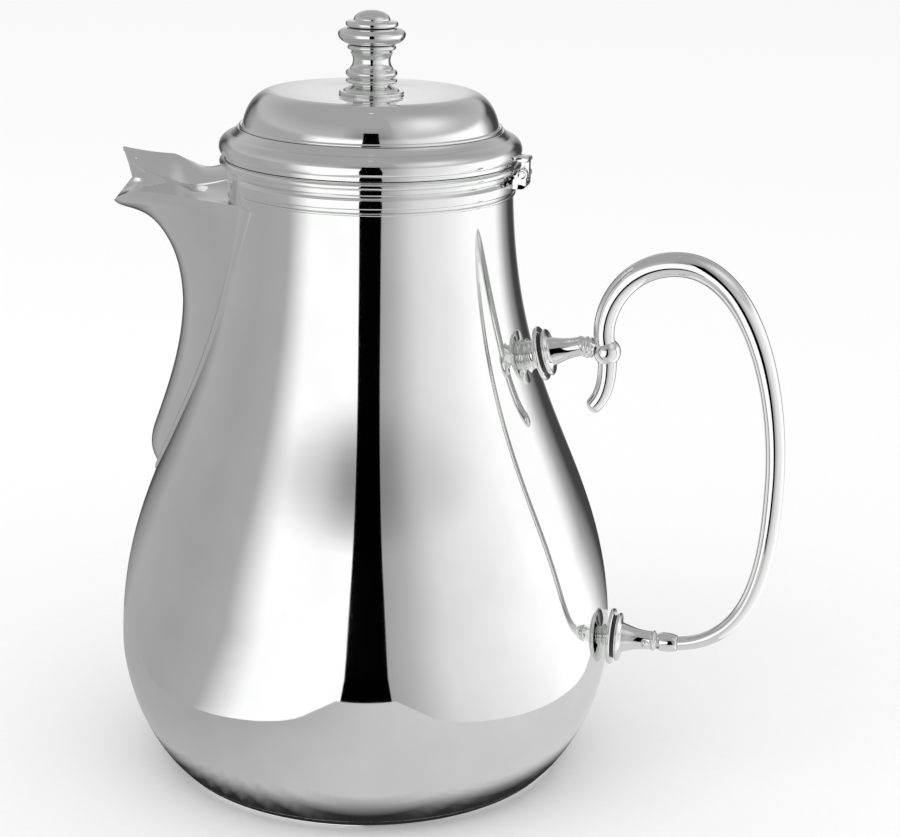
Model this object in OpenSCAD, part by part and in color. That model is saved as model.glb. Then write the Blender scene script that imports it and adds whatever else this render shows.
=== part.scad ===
// Coffee pot: a pear-shaped body with a duck-bill spout, a domed lid on a hinge and a looped handle.
// Millimetres. It stands on z = 0 about the Z axis. The handle is on +X and the spout is on -X.

/* [Body] */
// Greatest outside diameter of the body
body_d = 130; // [124:1:138]
// Height of the greatest diameter above the table
belly_z = 32.8; // [28:0.4:40]
// Height of the body's top edge above the table
neck_z = 161.1; // [155:0.1:172]
// Outside diameter of the body at its top edge
neck_d = 72.3; // [68:0.1:78]
// Length of the body curve's pull above the belly
belly_pull = 50; // [42:1:58]
// Length of the body curve's pull below the neck
neck_pull = 68; // [58:1:74]
// Thickness of the body wall
wall = 1.2; // [0.8:0.1:1.5]

/* [Foot] */
// Diameter of the circle on which the foot ring stands
foot_d = 102.8; // [98:0.2:105]
// Height of the foot ring
foot_h = 2.5; // [2:0.1:4]
// Width of the foot ring's flat underside
foot_w = 3; // [2:0.1:5]
// How far the body's lower edge stands out from the foot ring's circle
heel_out = 2.15; // [1:0.05:4]
// Angle at which the body leaves the foot ring
heel_angle = 49; // [42:1:58]
// Thickness of the base plate
base_t = 1.2; // [0.8:0.1:1.6]
// How far the middle of the base plate is pushed up
base_rise = 2; // [1:0.1:4]

/* [Neck rings] */
// Height of the rim ring
rim_h = 2.1; // [1.5:0.1:3]
// How far the rim ring stands out from the body
rim_out = 2; // [1.2:0.1:2.4]
// Groove between the rim ring and the band
rim_groove = 1.1; // [0.8:0.1:2]
// Height of the neck band
band_h = 3.5; // [2.5:0.1:5]
// How far the neck band stands out from the body
band_out = 1.15; // [0.8:0.05:1.5]
// Groove between the neck band and the wire
band_groove = 0.8; // [0.5:0.1:1.5]
// Height of the neck wire
wire_h = 0.8; // [0.6:0.1:1.4]
// How far the neck wire stands out from the body
wire_out = 0.6; // [0.4:0.1:1]

/* [Lid] */
// Gap between the body's top edge and the lid's bezel
lid_gap = 0.1; // [0.05:0.05:0.3]
// Greatest diameter of the lid's cushion edge
lid_d = 76.7; // [74:0.1:82]
// Height of the cushion edge
cushion_h = 6.3; // [5.5:0.1:7.5]
// Width of the cushion's ledge, from its widest part in to the dome
ledge_w = 6.05; // [5:0.05:9]
// Height of the dome above the cushion
dome_h = 9.1; // [7:0.1:14]
// Diameter of the nearly flat top of the dome
crown_d = 49; // [40:1:54]
// How far the finial's seat lies below the top of the dome
dish = 0.7; // [0:0.1:1.2]
// Thickness of the lid
lid_t = 1; // [0.7:0.1:1.3]
// Radius of the bead round the foot of the dome
bead_r = 0.42; // [0.3:0.02:0.6]
// Thickness of the bezel's flange
bezel_t = 1.1; // [0.8:0.1:1.5]
// Depth of the bezel's skirt in the neck
skirt_h = 4.2; // [3:0.1:7]
// Thickness of the bezel's skirt
skirt_t = 1; // [0.7:0.1:1.4]
// Clearance between the bezel's skirt and the neck
skirt_clear = 0.5; // [0.4:0.05:1]

/* [Finial] */
// Diameter of the finial's base
finial_d = 16.4; // [14:0.2:20]
// Height of the finial's base
finial_base_h = 2.6; // [2.2:0.1:4]
// Height of the turned stem
stem_h = 7.8; // [7:0.1:12]
// Diameter of the stem's two rings
stem_d = 13; // [11:0.1:15]
// Diameter of the stem's waist
waist_d = 9.2; // [8:0.1:10.4]
// Greatest diameter of the knob
knob_d = 17; // [15:0.2:21]
// Height of the knob
knob_h = 10.3; // [9:0.1:14]
// Diameter of the threaded rod that holds the finial
rod_d = 3; // [2.5:0.1:3.6]
// Clearance round the rod in the pieces that it passes
rod_clear = 0.1; // [0.05:0.05:0.2]
// Width across the corners of the nut
nut_d = 6.6; // [6:0.1:8]
// Height of the nut
nut_h = 2.4; // [2:0.1:3.5]

/* [Hinge] */
// How far the hinge pin lies below the body's top edge
hinge_drop = 1.9; // [1.7:0.1:2.5]
// Diameter of the hinge's knuckles
knuckle_d = 2.8; // [2.6:0.1:3.4]
// Gap between the knuckles and the rim ring
hinge_gap = 0.15; // [0.1:0.05:0.4]
// Width of the lid's knuckle
knuckle_w = 2.2; // [1.8:0.1:4]
// Width of each of the body's two knuckles
side_w = 1.6; // [1.2:0.1:3]
// Side gap between the knuckles
knuckle_gap = 0.15; // [0.1:0.05:0.3]
// Diameter of the hinge pin
pin_d = 1.4; // [1.2:0.1:1.6]
// Radial clearance of the hinge pin in the lid's knuckle
pin_clear = 0.05; // [0.02:0.01:0.1]
// Thickness of the hinge's leaves
leaf_t = 1; // [0.8:0.1:1.2]

/* [Spout] */
// Height of the spout's toe above the table
toe_z = 75.6; // [70:0.2:80]
// How far the lower lip lies below the body's top edge
lip_drop = 15.7; // [13:0.1:19]
// How far the lower lip stands out from the body
spout_reach = 33; // [28:0.5:38]
// Greatest width of the spout where it meets the body
spout_w = 51; // [44:0.5:56]
// How far the shoulder line lies below the body's top edge at the body
shoulder_drop = 9.8; // [9:0.1:11]
// How far the upper lip stands out from the body
bill_reach = 30.7; // [26:0.5:34]
// How far the upper lip lies below the body's top edge
bill_drop = 1.3; // [0.8:0.1:3]
// How far the saddle in the cover lies below the body's top edge
saddle_drop = 5.3; // [4:0.1:6.5]
// Thickness of the spout's walls
spout_t = 1.1; // [0.8:0.05:1.3]
// Width of the soldered seam at the top of the spout
seam_w = 3; // [2:0.1:4]
// Thickness of the soldered seam
seam_t = 0.6; // [0.4:0.05:0.8]

/* [Strainer] */
// Width of the inlet behind the spout
inlet_w = 16; // [12:0.5:20]
// Height of the inlet behind the spout
inlet_h = 34; // [28:0.5:40]
// Height of the middle of the inlet above the table
inlet_z = 124; // [118:0.5:128]
// How far the strainer plate laps over the wall round the inlet
strainer_lap = 3; // [2:0.1:4]
// Thickness of the strainer plate
strainer_t = 0.8; // [0.6:0.05:1.2]
// Diameter of the strainer's holes
hole_d = 2.4; // [1.6:0.1:2.8]
// Distance between the strainer's holes
hole_pitch = 4; // [3.6:0.1:5]

/* [Handle] */
// Distance from the pot's axis to the outermost middle line of the handle
handle_x = 106.4; // [96:0.2:114]
// Height of the handle's crown, on its middle line
handle_z = 138.9; // [134:0.1:146]
// Distance from the pot's axis to the handle's crown
crown_x = 80; // [76:0.5:86]
// Height at which the handle is outermost
grip_z = 85; // [78:0.5:92]
// Diameter of the handle rod at its crown
rod_top_d = 6.2; // [5:0.1:7.4]
// Diameter of the handle rod at its outermost point
rod_side_d = 4.8; // [4:0.1:6]
// Diameter of the handle rod at its lower end
rod_end_d = 3.6; // [3:0.1:4.2]
// Diameter of the ball at the top of the handle
ball_d = 7; // [6:0.1:8]
// Diameter of the hooked tail below the ball
tail_d = 4.9; // [4:0.1:5.6]
// Length of the hooked tail below the ball's middle
tail_h = 15.3; // [12:0.1:18]

/* [Handle sockets] */
// Height at which the upper socket meets the body
upper_z = 112.5; // [106:0.5:118]
// Angle at which the upper socket rises from the body
upper_tilt = 15.5; // [8:0.5:22]
// Diameter of the upper socket's disc
upper_disc_d = 14; // [12:0.2:17]
// Height at which the lower socket meets the body
lower_z = 38.4; // [34:0.2:44]
// Diameter of the lower socket's disc
lower_disc_d = 14.7; // [12:0.1:17]
// Thickness of each socket's disc
disc_t = 1.1; // [0.8:0.1:1.6]
// Thickness of the insulating washers
washer_t = 0.8; // [0.5:0.1:1.5]
// Diameter of the neck at the end of each trumpet
trumpet_neck_d = 4.8; // [4.2:0.1:5.6]
// Length of each trumpet
trumpet_l = 9.3; // [8:0.1:12]
// Diameter of the pegs that join the socket pieces
peg_d = 3; // [2:0.1:3.2]
// Length of the pegs beyond the washers
peg_l = 3; // [2:0.1:4]
// Clearance round the pegs
peg_clear = 0.05; // [0.02:0.01:0.1]
// Diameter of the rivet across the lower socket
rivet_d = 1.4; // [1:0.1:1.6]

/* [Hidden] */
$fn = 96;

body_r = body_d / 2;
neck_r = neck_d / 2;
heel_r = foot_d / 2 + heel_out;
// How far a cutting shape passes the face that it cuts
past = 1;
// Film of solder between the wall and the pieces soldered to it
solder_t = 0.03;

// Body curve below the belly and above it, as points of two cubic curves [radius, height]
heel_pull = (body_r - heel_r) * 0.877;
under_pull = (belly_z - foot_h) * 0.106;
low_curve = [
  [heel_r, foot_h],
  [heel_r + heel_pull, foot_h + heel_pull * tan(heel_angle)],
  [body_r, belly_z - under_pull],
  [body_r, belly_z]
];
high_curve = [
  [body_r, belly_z],
  [body_r, belly_z + belly_pull],
  [neck_r, neck_z - neck_pull],
  [neck_r, neck_z]
];

// Heights of the neck's rings
rim_z = neck_z - rim_h;
band_z = rim_z - rim_groove - band_h;
wire_z = band_z - band_groove - wire_h;

// Heights of the lid's pieces
bezel_z = neck_z + lid_gap;
lid_z = bezel_z + bezel_t;
lid_r = lid_d / 2;
lid_edge_in = 0.65;
dome_z = lid_z + cushion_h;
dome_r = lid_r - ledge_w;
crown_r = crown_d / 2;
crown_z = dome_z + dome_h;
seat_z = crown_z - dish;
finial_r = finial_d / 2;
stem_z = seat_z + finial_base_h;
knob_z = stem_z + stem_h;

// Hinge
hinge_z = neck_z - hinge_drop;
hinge_l = knuckle_w + 2 * knuckle_gap + 2 * side_w;
knuckle_r = knuckle_d / 2;
hinge_x = neck_r + rim_out + hinge_gap + knuckle_r;

// Spout
lip_z = neck_z - lip_drop;
shoulder_z = neck_z - shoulder_drop;
// Keel of the spout, as shares of its reach and of its rise
keel_shape = [
  [0, 0], [0.09, 0.029], [0.185, 0.064], [0.203, 0.15],
  [0.221, 0.322], [0.229, 0.486], [0.302, 0.655],
  [0.383, 0.808], [0.508, 0.937], [0.77, 0.968],
  [0.865, 0.981], [0.967, 0.981], [1, 1]
];
// Width of the spout along its root, as shares of half its greatest width
root_shape = [0.52, 0.78, 0.81, 1.03];
// Height over which the toe is rounded
toe_round = 8;
// Height at the keel above which the rows climb to the shoulder line
lift_z = lip_z - (lip_z - toe_z) * 0.13;

// ---- Curves ----

function lerp(a, b, t) = a + (b - a) * t;

// Smooth rise from 0 to 1
function ease(t) = let (u = min(1, max(0, t))) u * u * (3 - 2 * u);

// Point of a cubic curve through four control points or four numbers
function cubic(p, t) =
  p[0] * pow(1 - t, 3) + p[1] * 3 * pow(1 - t, 2) * t + p[2] * 3 * (1 - t) * t * t + p[3] * pow(t, 3);

// Direction of a cubic curve
function cubic_way(p, t) =
  (p[1] - p[0]) * pow(1 - t, 2) + (p[2] - p[1]) * 2 * (1 - t) * t + (p[3] - p[2]) * t * t;

// Point of a chain of cubic curves that share their end points, with t from 0 to 1 over the chain
function chain(p, t) =
  let (
    parts = (len(p) - 1) / 3,
    k = min(parts - 1, floor(t * parts)),
    u = t * parts - k
  )
  cubic([p[3 * k], p[3 * k + 1], p[3 * k + 2], p[3 * k + 3]], u);

// Place along a cubic [radius, height] curve at height z, by halving
function t_at(p, z, lo = 0, hi = 1, n = 22) =
  n == 0 ? (lo + hi) / 2 :
  let (mid = (lo + hi) / 2)
  cubic(p, mid)[1] < z ? t_at(p, z, mid, hi, n - 1) : t_at(p, z, lo, mid, n - 1);

// Outside radius of the body at height z
function skin_r(z) =
  z < belly_z ? cubic(low_curve, t_at(low_curve, z))[0] : cubic(high_curve, t_at(high_curve, z))[0];

// Angle by which the body's outside leans out at height z
function skin_lean(z) =
  let (way = z < belly_z ? cubic_way(low_curve, t_at(low_curve, z)) : cubic_way(high_curve, t_at(high_curve, z)))
  atan2(way[0], way[1]);

// Point [radius, height] at a distance off the body's outside, measured square to it
function skin_pt(z, off) =
  let (a = skin_lean(z))
  [skin_r(z) + off * cos(a), z - off * sin(a)];

// Points along the body between two heights, at a distance off its outside
function skin_line(z0, z1, off, n) = [for (i = [0:n]) skin_pt(lerp(z0, z1, i / n), off)];

// Ends of the strainer plate on the wall, and the heights at which the neck's rings meet it
strainer_low = inlet_z - inlet_h / 2 - strainer_lap;
strainer_top = inlet_z + inlet_h / 2 + strainer_lap;
ring_heights = [wire_z, wire_z + wire_h, band_z, band_z + band_h, rim_z, neck_z];

// The whole wall from the foot to the neck, with corners where other pieces begin and end
function wall_line(off) = concat(
  skin_line(foot_h, belly_z, off, 12),
  skin_line(belly_z + 4, strainer_low - 4, off, 17),
  skin_line(strainer_low, strainer_top, off, 12),
  skin_line(strainer_top + 3, wire_z - 3, off, 2),
  [for (z = ring_heights) skin_pt(z, off)]
);

// Arc of an ellipse about a middle point
function arc(x, z, rx, rz, a0, a1, n = 8) =
  [for (i = [0:n]) let (a = lerp(a0, a1, i / n)) [x + rx * cos(a), z + rz * sin(a)]];

function cubic_line(p, n) = [for (i = [0:n]) cubic(p, i / n)];

function reverse(p) = [for (i = [len(p) - 1:-1:0]) p[i]];

// Points moved to the left of a line's direction, for the inside of a sheet
function inset(p, off) = [
  for (i = [0:len(p) - 1])
    let (
      way = p[min(len(p) - 1, i + 1)] - p[max(0, i - 1)],
      side = [-way[1], way[0]] / norm(way)
    )
    p[i] + side * off
];

// ---- Shapes used more than once ----

// Solid of the body's outside between two heights
module skin_solid(z0, z1) {
  rotate_extrude()
    polygon(concat([[0, z1], [0, z0]], skin_line(z0, z1, 0, 8)));
}

// Half-round ring on the outside of the body
module skin_ring(z0, h, out, from = 0, sweep = 360) {
  low_r = skin_r(z0);
  top_r = skin_r(z0 + h);
  rotate([0, 0, from])
    rotate_extrude(angle = sweep)
      polygon(concat([[top_r, z0 + h], [low_r, z0]],
        arc(low_r + out / 3, z0 + h / 2, out * 2 / 3, h / 2, -90, 90)));
}

// Places children with their +Z along a line that leaves the body at height z and rises by a tilt
module on_skin(z, tilt) {
  translate([skin_r(z), 0, z])
    rotate([0, 90 - tilt, 0])
      children();
}

// Sheet between two grids of points with equal rows and columns
module thick_sheet(outer, inner) {
  rows = len(outer);
  cols = len(outer[0]);
  half = rows * cols;
  points = concat([for (row = outer) each row], [for (row = inner) each row]);
  faces = concat(
    [for (i = [0:rows - 2], j = [0:cols - 2])
      each [[i * cols + j, i * cols + j + 1, (i + 1) * cols + j],
            [i * cols + j + 1, (i + 1) * cols + j + 1, (i + 1) * cols + j]]],
    [for (i = [0:rows - 2], j = [0:cols - 2])
      each [[half + i * cols + j, half + (i + 1) * cols + j, half + i * cols + j + 1],
            [half + i * cols + j + 1, half + (i + 1) * cols + j, half + (i + 1) * cols + j + 1]]],
    [for (i = [0:rows - 2])
      each [[i * cols, (i + 1) * cols, half + i * cols],
            [(i + 1) * cols, half + (i + 1) * cols, half + i * cols]]],
    [for (i = [0:rows - 2], j = cols - 1)
      each [[i * cols + j, half + i * cols + j, (i + 1) * cols + j],
            [(i + 1) * cols + j, half + i * cols + j, half + (i + 1) * cols + j]]],
    [for (j = [0:cols - 2])
      each [[j, half + j, j + 1],
            [j + 1, half + j, half + j + 1]]],
    [for (j = [0:cols - 2], i = rows - 1)
      each [[i * cols + j, i * cols + j + 1, half + i * cols + j],
            [i * cols + j + 1, half + i * cols + j + 1, half + i * cols + j]]]
  );
  polyhedron(points, faces);
}

// ---- Body ----

module inlet_slot(w, h) {
  translate([0, 0, inlet_z])
    rotate([0, -90, 0])
      linear_extrude(body_r)
        union() {
          square([h - w, w], center = true);
          translate([(h - w) / 2, 0]) circle(d = w);
          translate([-(h - w) / 2, 0]) circle(d = w);
        }
}

module body_shell() {
  seat = [[heel_r - wall / sin(heel_angle), foot_h]];
  color("silver")
    difference() {
      rotate_extrude() polygon(concat(wall_line(0), reverse(wall_line(-wall)), seat));
      inlet_slot(inlet_w, inlet_h);
    }
}

module base_plate() {
  edge_r = heel_r - wall / sin(heel_angle);
  edge_h = wall * cos(heel_angle);
  under = [for (i = [0:10]) let (r = edge_r * i / 10) [r, foot_h + base_rise * (1 - pow(i / 10, 2))]];
  top = [for (i = [9:-1:0]) let (r = edge_r * i / 10) [r, foot_h + base_t + base_rise * (1 - pow(i / 10, 2))]];
  color("silver")
    rotate_extrude()
      polygon(concat(under, [[edge_r + edge_h / tan(heel_angle), foot_h + edge_h]], top));
}

module foot_ring() {
  r = foot_d / 2;
  round_r = 0.5;
  color("silver")
    rotate_extrude()
      polygon(concat(
        arc(r - foot_w + round_r, round_r, round_r, round_r, 180, 270, 4),
        arc(r - round_r, round_r, round_r, round_r, -90, -heel_angle, 4),
        [[heel_r, foot_h], [r - foot_w, foot_h]]
      ));
}

// ---- Neck ----

// Outside radius of the neck band
band_r = skin_r(band_z) + band_out;

// Half of the angle that the spout takes from the neck's band and wire
spout_half = asin(root_w(shoulder_z) / neck_r);

module neck_wire() {
  color("silver") skin_ring(wire_z, wire_h, wire_out, 180 + spout_half, 360 - 2 * spout_half);
}

// Band with an upright face, a rounded foot and a sloping top
module neck_band() {
  low_r = skin_r(band_z);
  top_r = skin_r(band_z + band_h);
  round_h = band_h * 0.15;
  color("silver")
    rotate([0, 0, 180 + spout_half])
      rotate_extrude(angle = 360 - 2 * spout_half)
        polygon(concat(
          [[low_r, band_z]],
          arc(band_r - round_h, band_z + round_h, round_h, round_h, -90, 0, 5),
          arc(band_r - round_h, band_z + band_h * 0.6, round_h, round_h, 0, 50, 4),
          [[top_r + band_out * 0.2, band_z + band_h], [top_r, band_z + band_h]]
        ));
}

module rim_ring() {
  color("silver") skin_ring(rim_z, rim_h, rim_out);
}

// ---- Spout ----

hull_rows = 26;
hull_half = 20;
cover_rows = floor(hull_half * 0.9);

// Half-width of the spout on the body at height z
function root_w(z) =
  let (
    h = (z - toe_z) / (shoulder_z - toe_z),
    toe = 1 - min(1, (z + 0.4 - toe_z) / toe_round)
  )
  spout_w / 2 * cubic(root_shape, h) * sqrt(1 - toe * toe);

// Point of the hull: t runs from the toe to the lips, a from the root at 0 to the keel at 90 degrees
function hull_pt(t, a, thin) =
  let (
    keel = chain(keel_shape, t),
    keel_z = lerp(toe_z, lip_z, keel[1]),
    lift = max(0, (keel_z - lift_z) / (lip_z - lift_z)),
    root_z = keel_z + (shoulder_z - lip_z) * lift * lift,
    w = root_w(root_z) - 1.3 * thin,
    r_body = skin_r(root_z),
    r_root = sqrt(r_body * r_body - w * w),
    r_keel = skin_r(keel_z) + max(0, spout_reach * keel[0] - thin),
    share = pow(sin(a), 2),
    side = pow(cos(a), lerp(1, 1.24, lift * lift))
  )
  [-lerp(r_root, r_keel, share), w * side, lerp(root_z, keel_z, pow(share, lerp(1, 6, lift)))];

// One row of the hull, from the near root round the keel to the far root
function hull_row(t, thin) = [
  for (k = [-hull_half:hull_half])
    let (p = hull_pt(t, 90 - 90 * abs(k) / hull_half, thin))
    [p[0], sign(k) * p[1], p[2]]
];

module spout() {
  inner_toe = 0.055;
  color("silver")
    thick_sheet(
      [for (i = [0:hull_rows]) hull_row(i / hull_rows, 0)],
      [for (i = [0:hull_rows]) hull_row(lerp(inner_toe, 1, i / hull_rows), spout_t)]
    );
}

// Crest of the cover: a dip to the saddle, a rise to the bill and a run out to the upper lip
function crest_z(x) =
  let (
    low = neck_z - saddle_drop,
    bill_z = neck_z - bill_drop,
    rise = (bill_z - low) * 0.73,
    dip = max(0, 1 - x / 0.277)
  )
  low + (rim_z - 0.4 - low) * dip * dip
    + rise * ease((x - 0.277) / 0.28)
    + (bill_z - low - rise) * pow(max(0, (x - 0.557) / 0.443), 2);

// Half-width of the crest's leaf, which closes at the upper lip
leaf_wide = 8.8;
leaf_slim = 3.5;
function leaf_w(x) =
  let (tip = max(0, (x - 0.86) / 0.14))
  0.4 + (lerp(leaf_wide, leaf_slim, ease((x - 0.28) / 0.32)) - 0.4) * sqrt(1 - tip * tip);

// Lines of the cover at a share x of its length: shoulder, middle of the shelf, leaf edge and crest
shelf_end = [25.7, 6.5, 8];
function shelf_pt(x) = [
  -(skin_r(shoulder_z) + lerp(-2.3, shelf_end[0], x)),
  cubic([13.2, 11, 4.2, shelf_end[1]], x),
  neck_z - cubic([8.8, 9.8, 9.5, shelf_end[2]], x)
];
function leaf_pt(x) = [
  -(skin_r(shoulder_z) + lerp(-1.1, bill_reach - 0.6, x)),
  leaf_w(x),
  neck_z - cubic([6.6, 9.3, 10.6, bill_drop + 0.6], x)
];
function crest_pt(x) = [-(skin_r(shoulder_z) + bill_reach * x), 0, crest_z(x)];

shelf_steps = 6;
leaf_steps = 6;
cover_half = shelf_steps + leaf_steps;

// Point of the cover's outside: i counts from the body to the mouth, k from the shoulder to the crest
function cover_out(i, k) =
  let (
    a = 90 * i / hull_half,
    x = pow(sin(a) / sin(90 * cover_rows / hull_half), 2),
    shoulder = hull_pt(1, a, 0),
    shelf = shelf_pt(x),
    leaf = leaf_pt(x),
    u = min(1, k / shelf_steps),
    v = max(0, (k - shelf_steps) / leaf_steps),
    round_way = shoulder * (1 - u) * (1 - 2 * u) + shelf * 4 * u * (1 - u) + leaf * u * (2 * u - 1),
    notched = u < 0.5 ? lerp(shoulder, shelf, 2 * u) : lerp(shelf, leaf, 2 * u - 1),
    flat = lerp(round_way, notched, pow(x, 4)),
    crest = crest_pt(x),
    arch = lerp(sin(90 * v), v, ease((x - 0.4) / 0.15)),
    p = k <= shelf_steps ? flat :
      [lerp(leaf[0], crest[0], v), lerp(leaf[1], crest[1], v), lerp(leaf[2], crest[2], arch)]
  )
  i == 0 ? on_body(p) : p;

// Point of the cover's inside, nested in the outside and level with it on the shoulder line
function cover_in(i, k) =
  let (
    p = cover_out(i, k),
    shoulder = cover_out(i, 0),
    lip = hull_pt(1, 90 * i / hull_half, spout_t),
    h = cover_out(i, cover_half)[2] - shoulder[2],
    q = [
      p[0] + (lip[0] - shoulder[0]) * (1 - k / cover_half),
      p[1] * lip[1] / shoulder[1],
      lip[2] + (p[2] - shoulder[2]) * (h - spout_t) / h
    ]
  )
  i == 0 ? on_body(q) : q;

// The same side and height, moved onto the outside of the body
function on_body(p) = [-sqrt(pow(skin_r(p[2]), 2) - p[1] * p[1]), p[1], p[2]];

function both_sides(row) = concat(
  [for (p = row) [p[0], -p[1], p[2]]],
  [for (k = [len(row) - 2:-1:0]) row[k]]
);

module spout_cover() {
  color("silver")
    thick_sheet(
      [for (i = [0:cover_rows]) both_sides([for (k = [0:cover_half]) cover_out(i, k)])],
      [for (i = [0:cover_rows]) both_sides([for (k = [0:cover_half]) cover_in(i, k)])]
    );
}

// Point on the body, moved along its surface by a distance square to the spout's root line
function seam_pt(t, out, high) =
  let (
    z = lerp(toe_z, shoulder_z, t * t),
    d = 0.5,
    way = [root_w(z + d) - root_w(z), d] / norm([root_w(z + d) - root_w(z), d]),
    w = root_w(z) + out * way[1],
    zz = z - out * way[0],
    r = skin_r(zz) + high
  )
  [-sqrt(r * r - w * w), w, zz];

seam_rows = 34;

function seam_line(out, high) =
  let (
    side = [for (i = [0:seam_rows]) seam_pt(i / seam_rows, out * lerp(0.5, 1, i / seam_rows), high)],
    toe = side[0],
    r = skin_r(toe[2]) + high
  )
  concat(
    [for (i = [seam_rows:-1:0]) [side[i][0], -side[i][1], side[i][2]]],
    [for (f = [-0.6, -0.2, 0.2, 0.6]) [-sqrt(r * r - pow(f * toe[1], 2)), f * toe[1], toe[2]]],
    side
  );

module spout_seam() {
  color("silver")
    thick_sheet(
      [seam_line(0, seam_t), seam_line(seam_w * 0.6, seam_t), seam_line(seam_w, seam_t / 2)],
      [seam_line(0, solder_t), seam_line(seam_w * 0.6, solder_t), seam_line(seam_w, solder_t)]
    );
}

module strainer() {
  half = asin((inlet_w / 2 + strainer_lap) / skin_r(strainer_top));
  rows = floor((inlet_h - hole_d) / hole_pitch);
  cols = floor((inlet_w - hole_d) / hole_pitch);
  color("silver")
    difference() {
      rotate([0, 0, 180 - half])
        rotate_extrude(angle = 2 * half)
          polygon(concat(
            skin_line(strainer_low, strainer_top, -wall - solder_t, 12),
            reverse(skin_line(strainer_low, strainer_top, -wall - strainer_t, 12))
          ));
      for (i = [0:rows])
        for (j = [0:cols - i % 2])
          translate([0, (j - (cols - i % 2) / 2) * hole_pitch, inlet_z + (i - rows / 2) * hole_pitch])
            rotate([0, -90, 0]) cylinder(d = hole_d, h = body_r, $fn = 24);
    }
}

// ---- Hinge ----

module knuckle(from, w, bore) {
  translate([hinge_x, from, hinge_z])
    rotate([-90, 0, 0])
      difference() {
        children();
        translate([0, 0, -past]) cylinder(d = bore, h = w + 2 * past, $fn = 48);
      }
}

// Fixed leaf: a rounded block on the neck band with a knuckle at each side
module hinge_bracket() {
  drop = knuckle_r + 2.2;
  reach = hinge_x - band_r;
  out = knuckle_r - 0.3;
  color("silver")
    difference() {
      union() {
        for (side = [-1, 1])
          knuckle(side * (hinge_l - side_w) / 2 - side_w / 2, side_w, pin_d)
            union() {
              cylinder(r = knuckle_r, h = side_w);
              linear_extrude(side_w)
                polygon([[out, drop - 1], [-reach - past, drop], [-reach - past, 0], [0, 0], [out, 0]]);
            }
        translate([hinge_x, hinge_l / 2, hinge_z])
          rotate([90, 0, 0])
            linear_extrude(hinge_l)
              polygon(concat([[-reach - past, -knuckle_r - 0.25], [-reach - past, -drop]],
                arc(out - 1.2, 1.2 - drop, 1.2, 1.2, -90, 0, 4), [[out, -knuckle_r - 0.25]]));
      }
      translate([0, 0, band_z]) cylinder(r = band_r, h = band_h);
      translate([0, 0, band_z + band_h]) cylinder(r = skin_r(band_z + band_h), h = rim_groove + past);
      translate([0, 0, rim_z]) cylinder(r = skin_r(rim_z) + rim_out, h = rim_h + past);
      translate([0, 0, wire_z - past]) cylinder(r = skin_r(wire_z) + wire_out, h = wire_h + band_groove + past);
    }
}

module hinge_pin() {
  head = 0.3;
  color("silver")
    translate([hinge_x, 0, hinge_z])
      rotate([90, 0, 0])
        union() {
          cylinder(d = pin_d, h = hinge_l, center = true, $fn = 48);
          for (side = [-1, 1])
            translate([0, 0, side * (hinge_l + head) / 2]) cylinder(d = pin_d * 1.5, h = head, center = true, $fn = 48);
        }
}

// Moving leaf: a tab on the cushion's lower edge that turns down outside the pin to the lid's knuckle
module lid_leaf() {
  reach = hinge_x - lid_r;
  low = lid_z + 0.15 - hinge_z;
  top = low + leaf_t;
  out = knuckle_r;
  color("silver")
    difference() {
      union() {
        knuckle(-knuckle_w / 2, knuckle_w, pin_d + 2 * pin_clear)
          union() {
            cylinder(r = knuckle_r, h = knuckle_w);
            linear_extrude(knuckle_w)
              polygon([[out - leaf_t, 0], [out, 0], [out, -top + 0.6], [out - leaf_t, -top + 0.1]]);
          }
        translate([hinge_x, hinge_l / 2, hinge_z])
          rotate([90, 0, 0])
            linear_extrude(hinge_l)
              polygon(concat([[-reach - past, top], [-reach - past, low]],
                [[out, low]], arc(out - 0.6, top - 0.6, 0.6, 0.6, 0, 90, 4)));
      }
      rotate_extrude()
        polygon(concat([[0, lid_z + cushion_h], [0, lid_z - past], [lid_edge_r, lid_z - past]], cushion_line));
    }
}

// ---- Lid ----

// Cushion edge of the lid, from its lower edge to the foot of the dome
lid_edge_r = lid_r - lid_edge_in;
cushion_z = lid_z + cushion_h * 0.7;
cushion_line = concat(
  cubic_line([
    [lid_edge_r, lid_z],
    [lid_r + 0.2, lid_z + cushion_h * 0.11],
    [lid_r + 0.35, lid_z + cushion_h * 0.52],
    [lid_r - ledge_w * 0.355, cushion_z]
  ], 12),
  cubic_line([
    [lid_r - ledge_w * 0.53, lerp(cushion_z, dome_z, 0.2)],
    [lid_r - ledge_w * 0.645, lerp(cushion_z, dome_z, 0.5)],
    [lid_r - ledge_w * 0.72, lerp(cushion_z, dome_z, 0.7)],
    [lid_r - ledge_w * 0.785, dome_z]
  ], 5)
);
// Dome with a rounded shoulder and a shallow dish round the finial's seat
dome_line = concat(
  cubic_line([
    [dome_r, dome_z],
    [dome_r + 0.1, dome_z + dome_h * 0.26],
    [lerp(crown_r, dome_r, 0.73), crown_z],
    [crown_r, crown_z]
  ], 14),
  [for (i = [1:5]) let (u = 1 - i / 5) [lerp(finial_r, crown_r, u), lerp(seat_z, crown_z, ease(u))]]
);

module lid_shell() {
  bore_r = rod_d / 2 + rod_clear;
  outside = concat(cushion_line, dome_line, [[bore_r, seat_z]]);
  inside = inset(concat(cushion_line, dome_line, [[0, seat_z]]), lid_t);
  kept = [for (p = inside) if (p[0] > bore_r && p[1] > lid_z) p];
  color("silver")
    rotate_extrude()
      polygon(concat(outside, [[bore_r, seat_z - lid_t]], reverse(kept), [[lid_edge_r - lid_t, lid_z]]));
}

module lid_bead() {
  color("silver")
    rotate_extrude()
      translate([dome_r + bead_r + 0.03, dome_z + bead_r]) circle(r = bead_r, $fn = 32);
}

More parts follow.
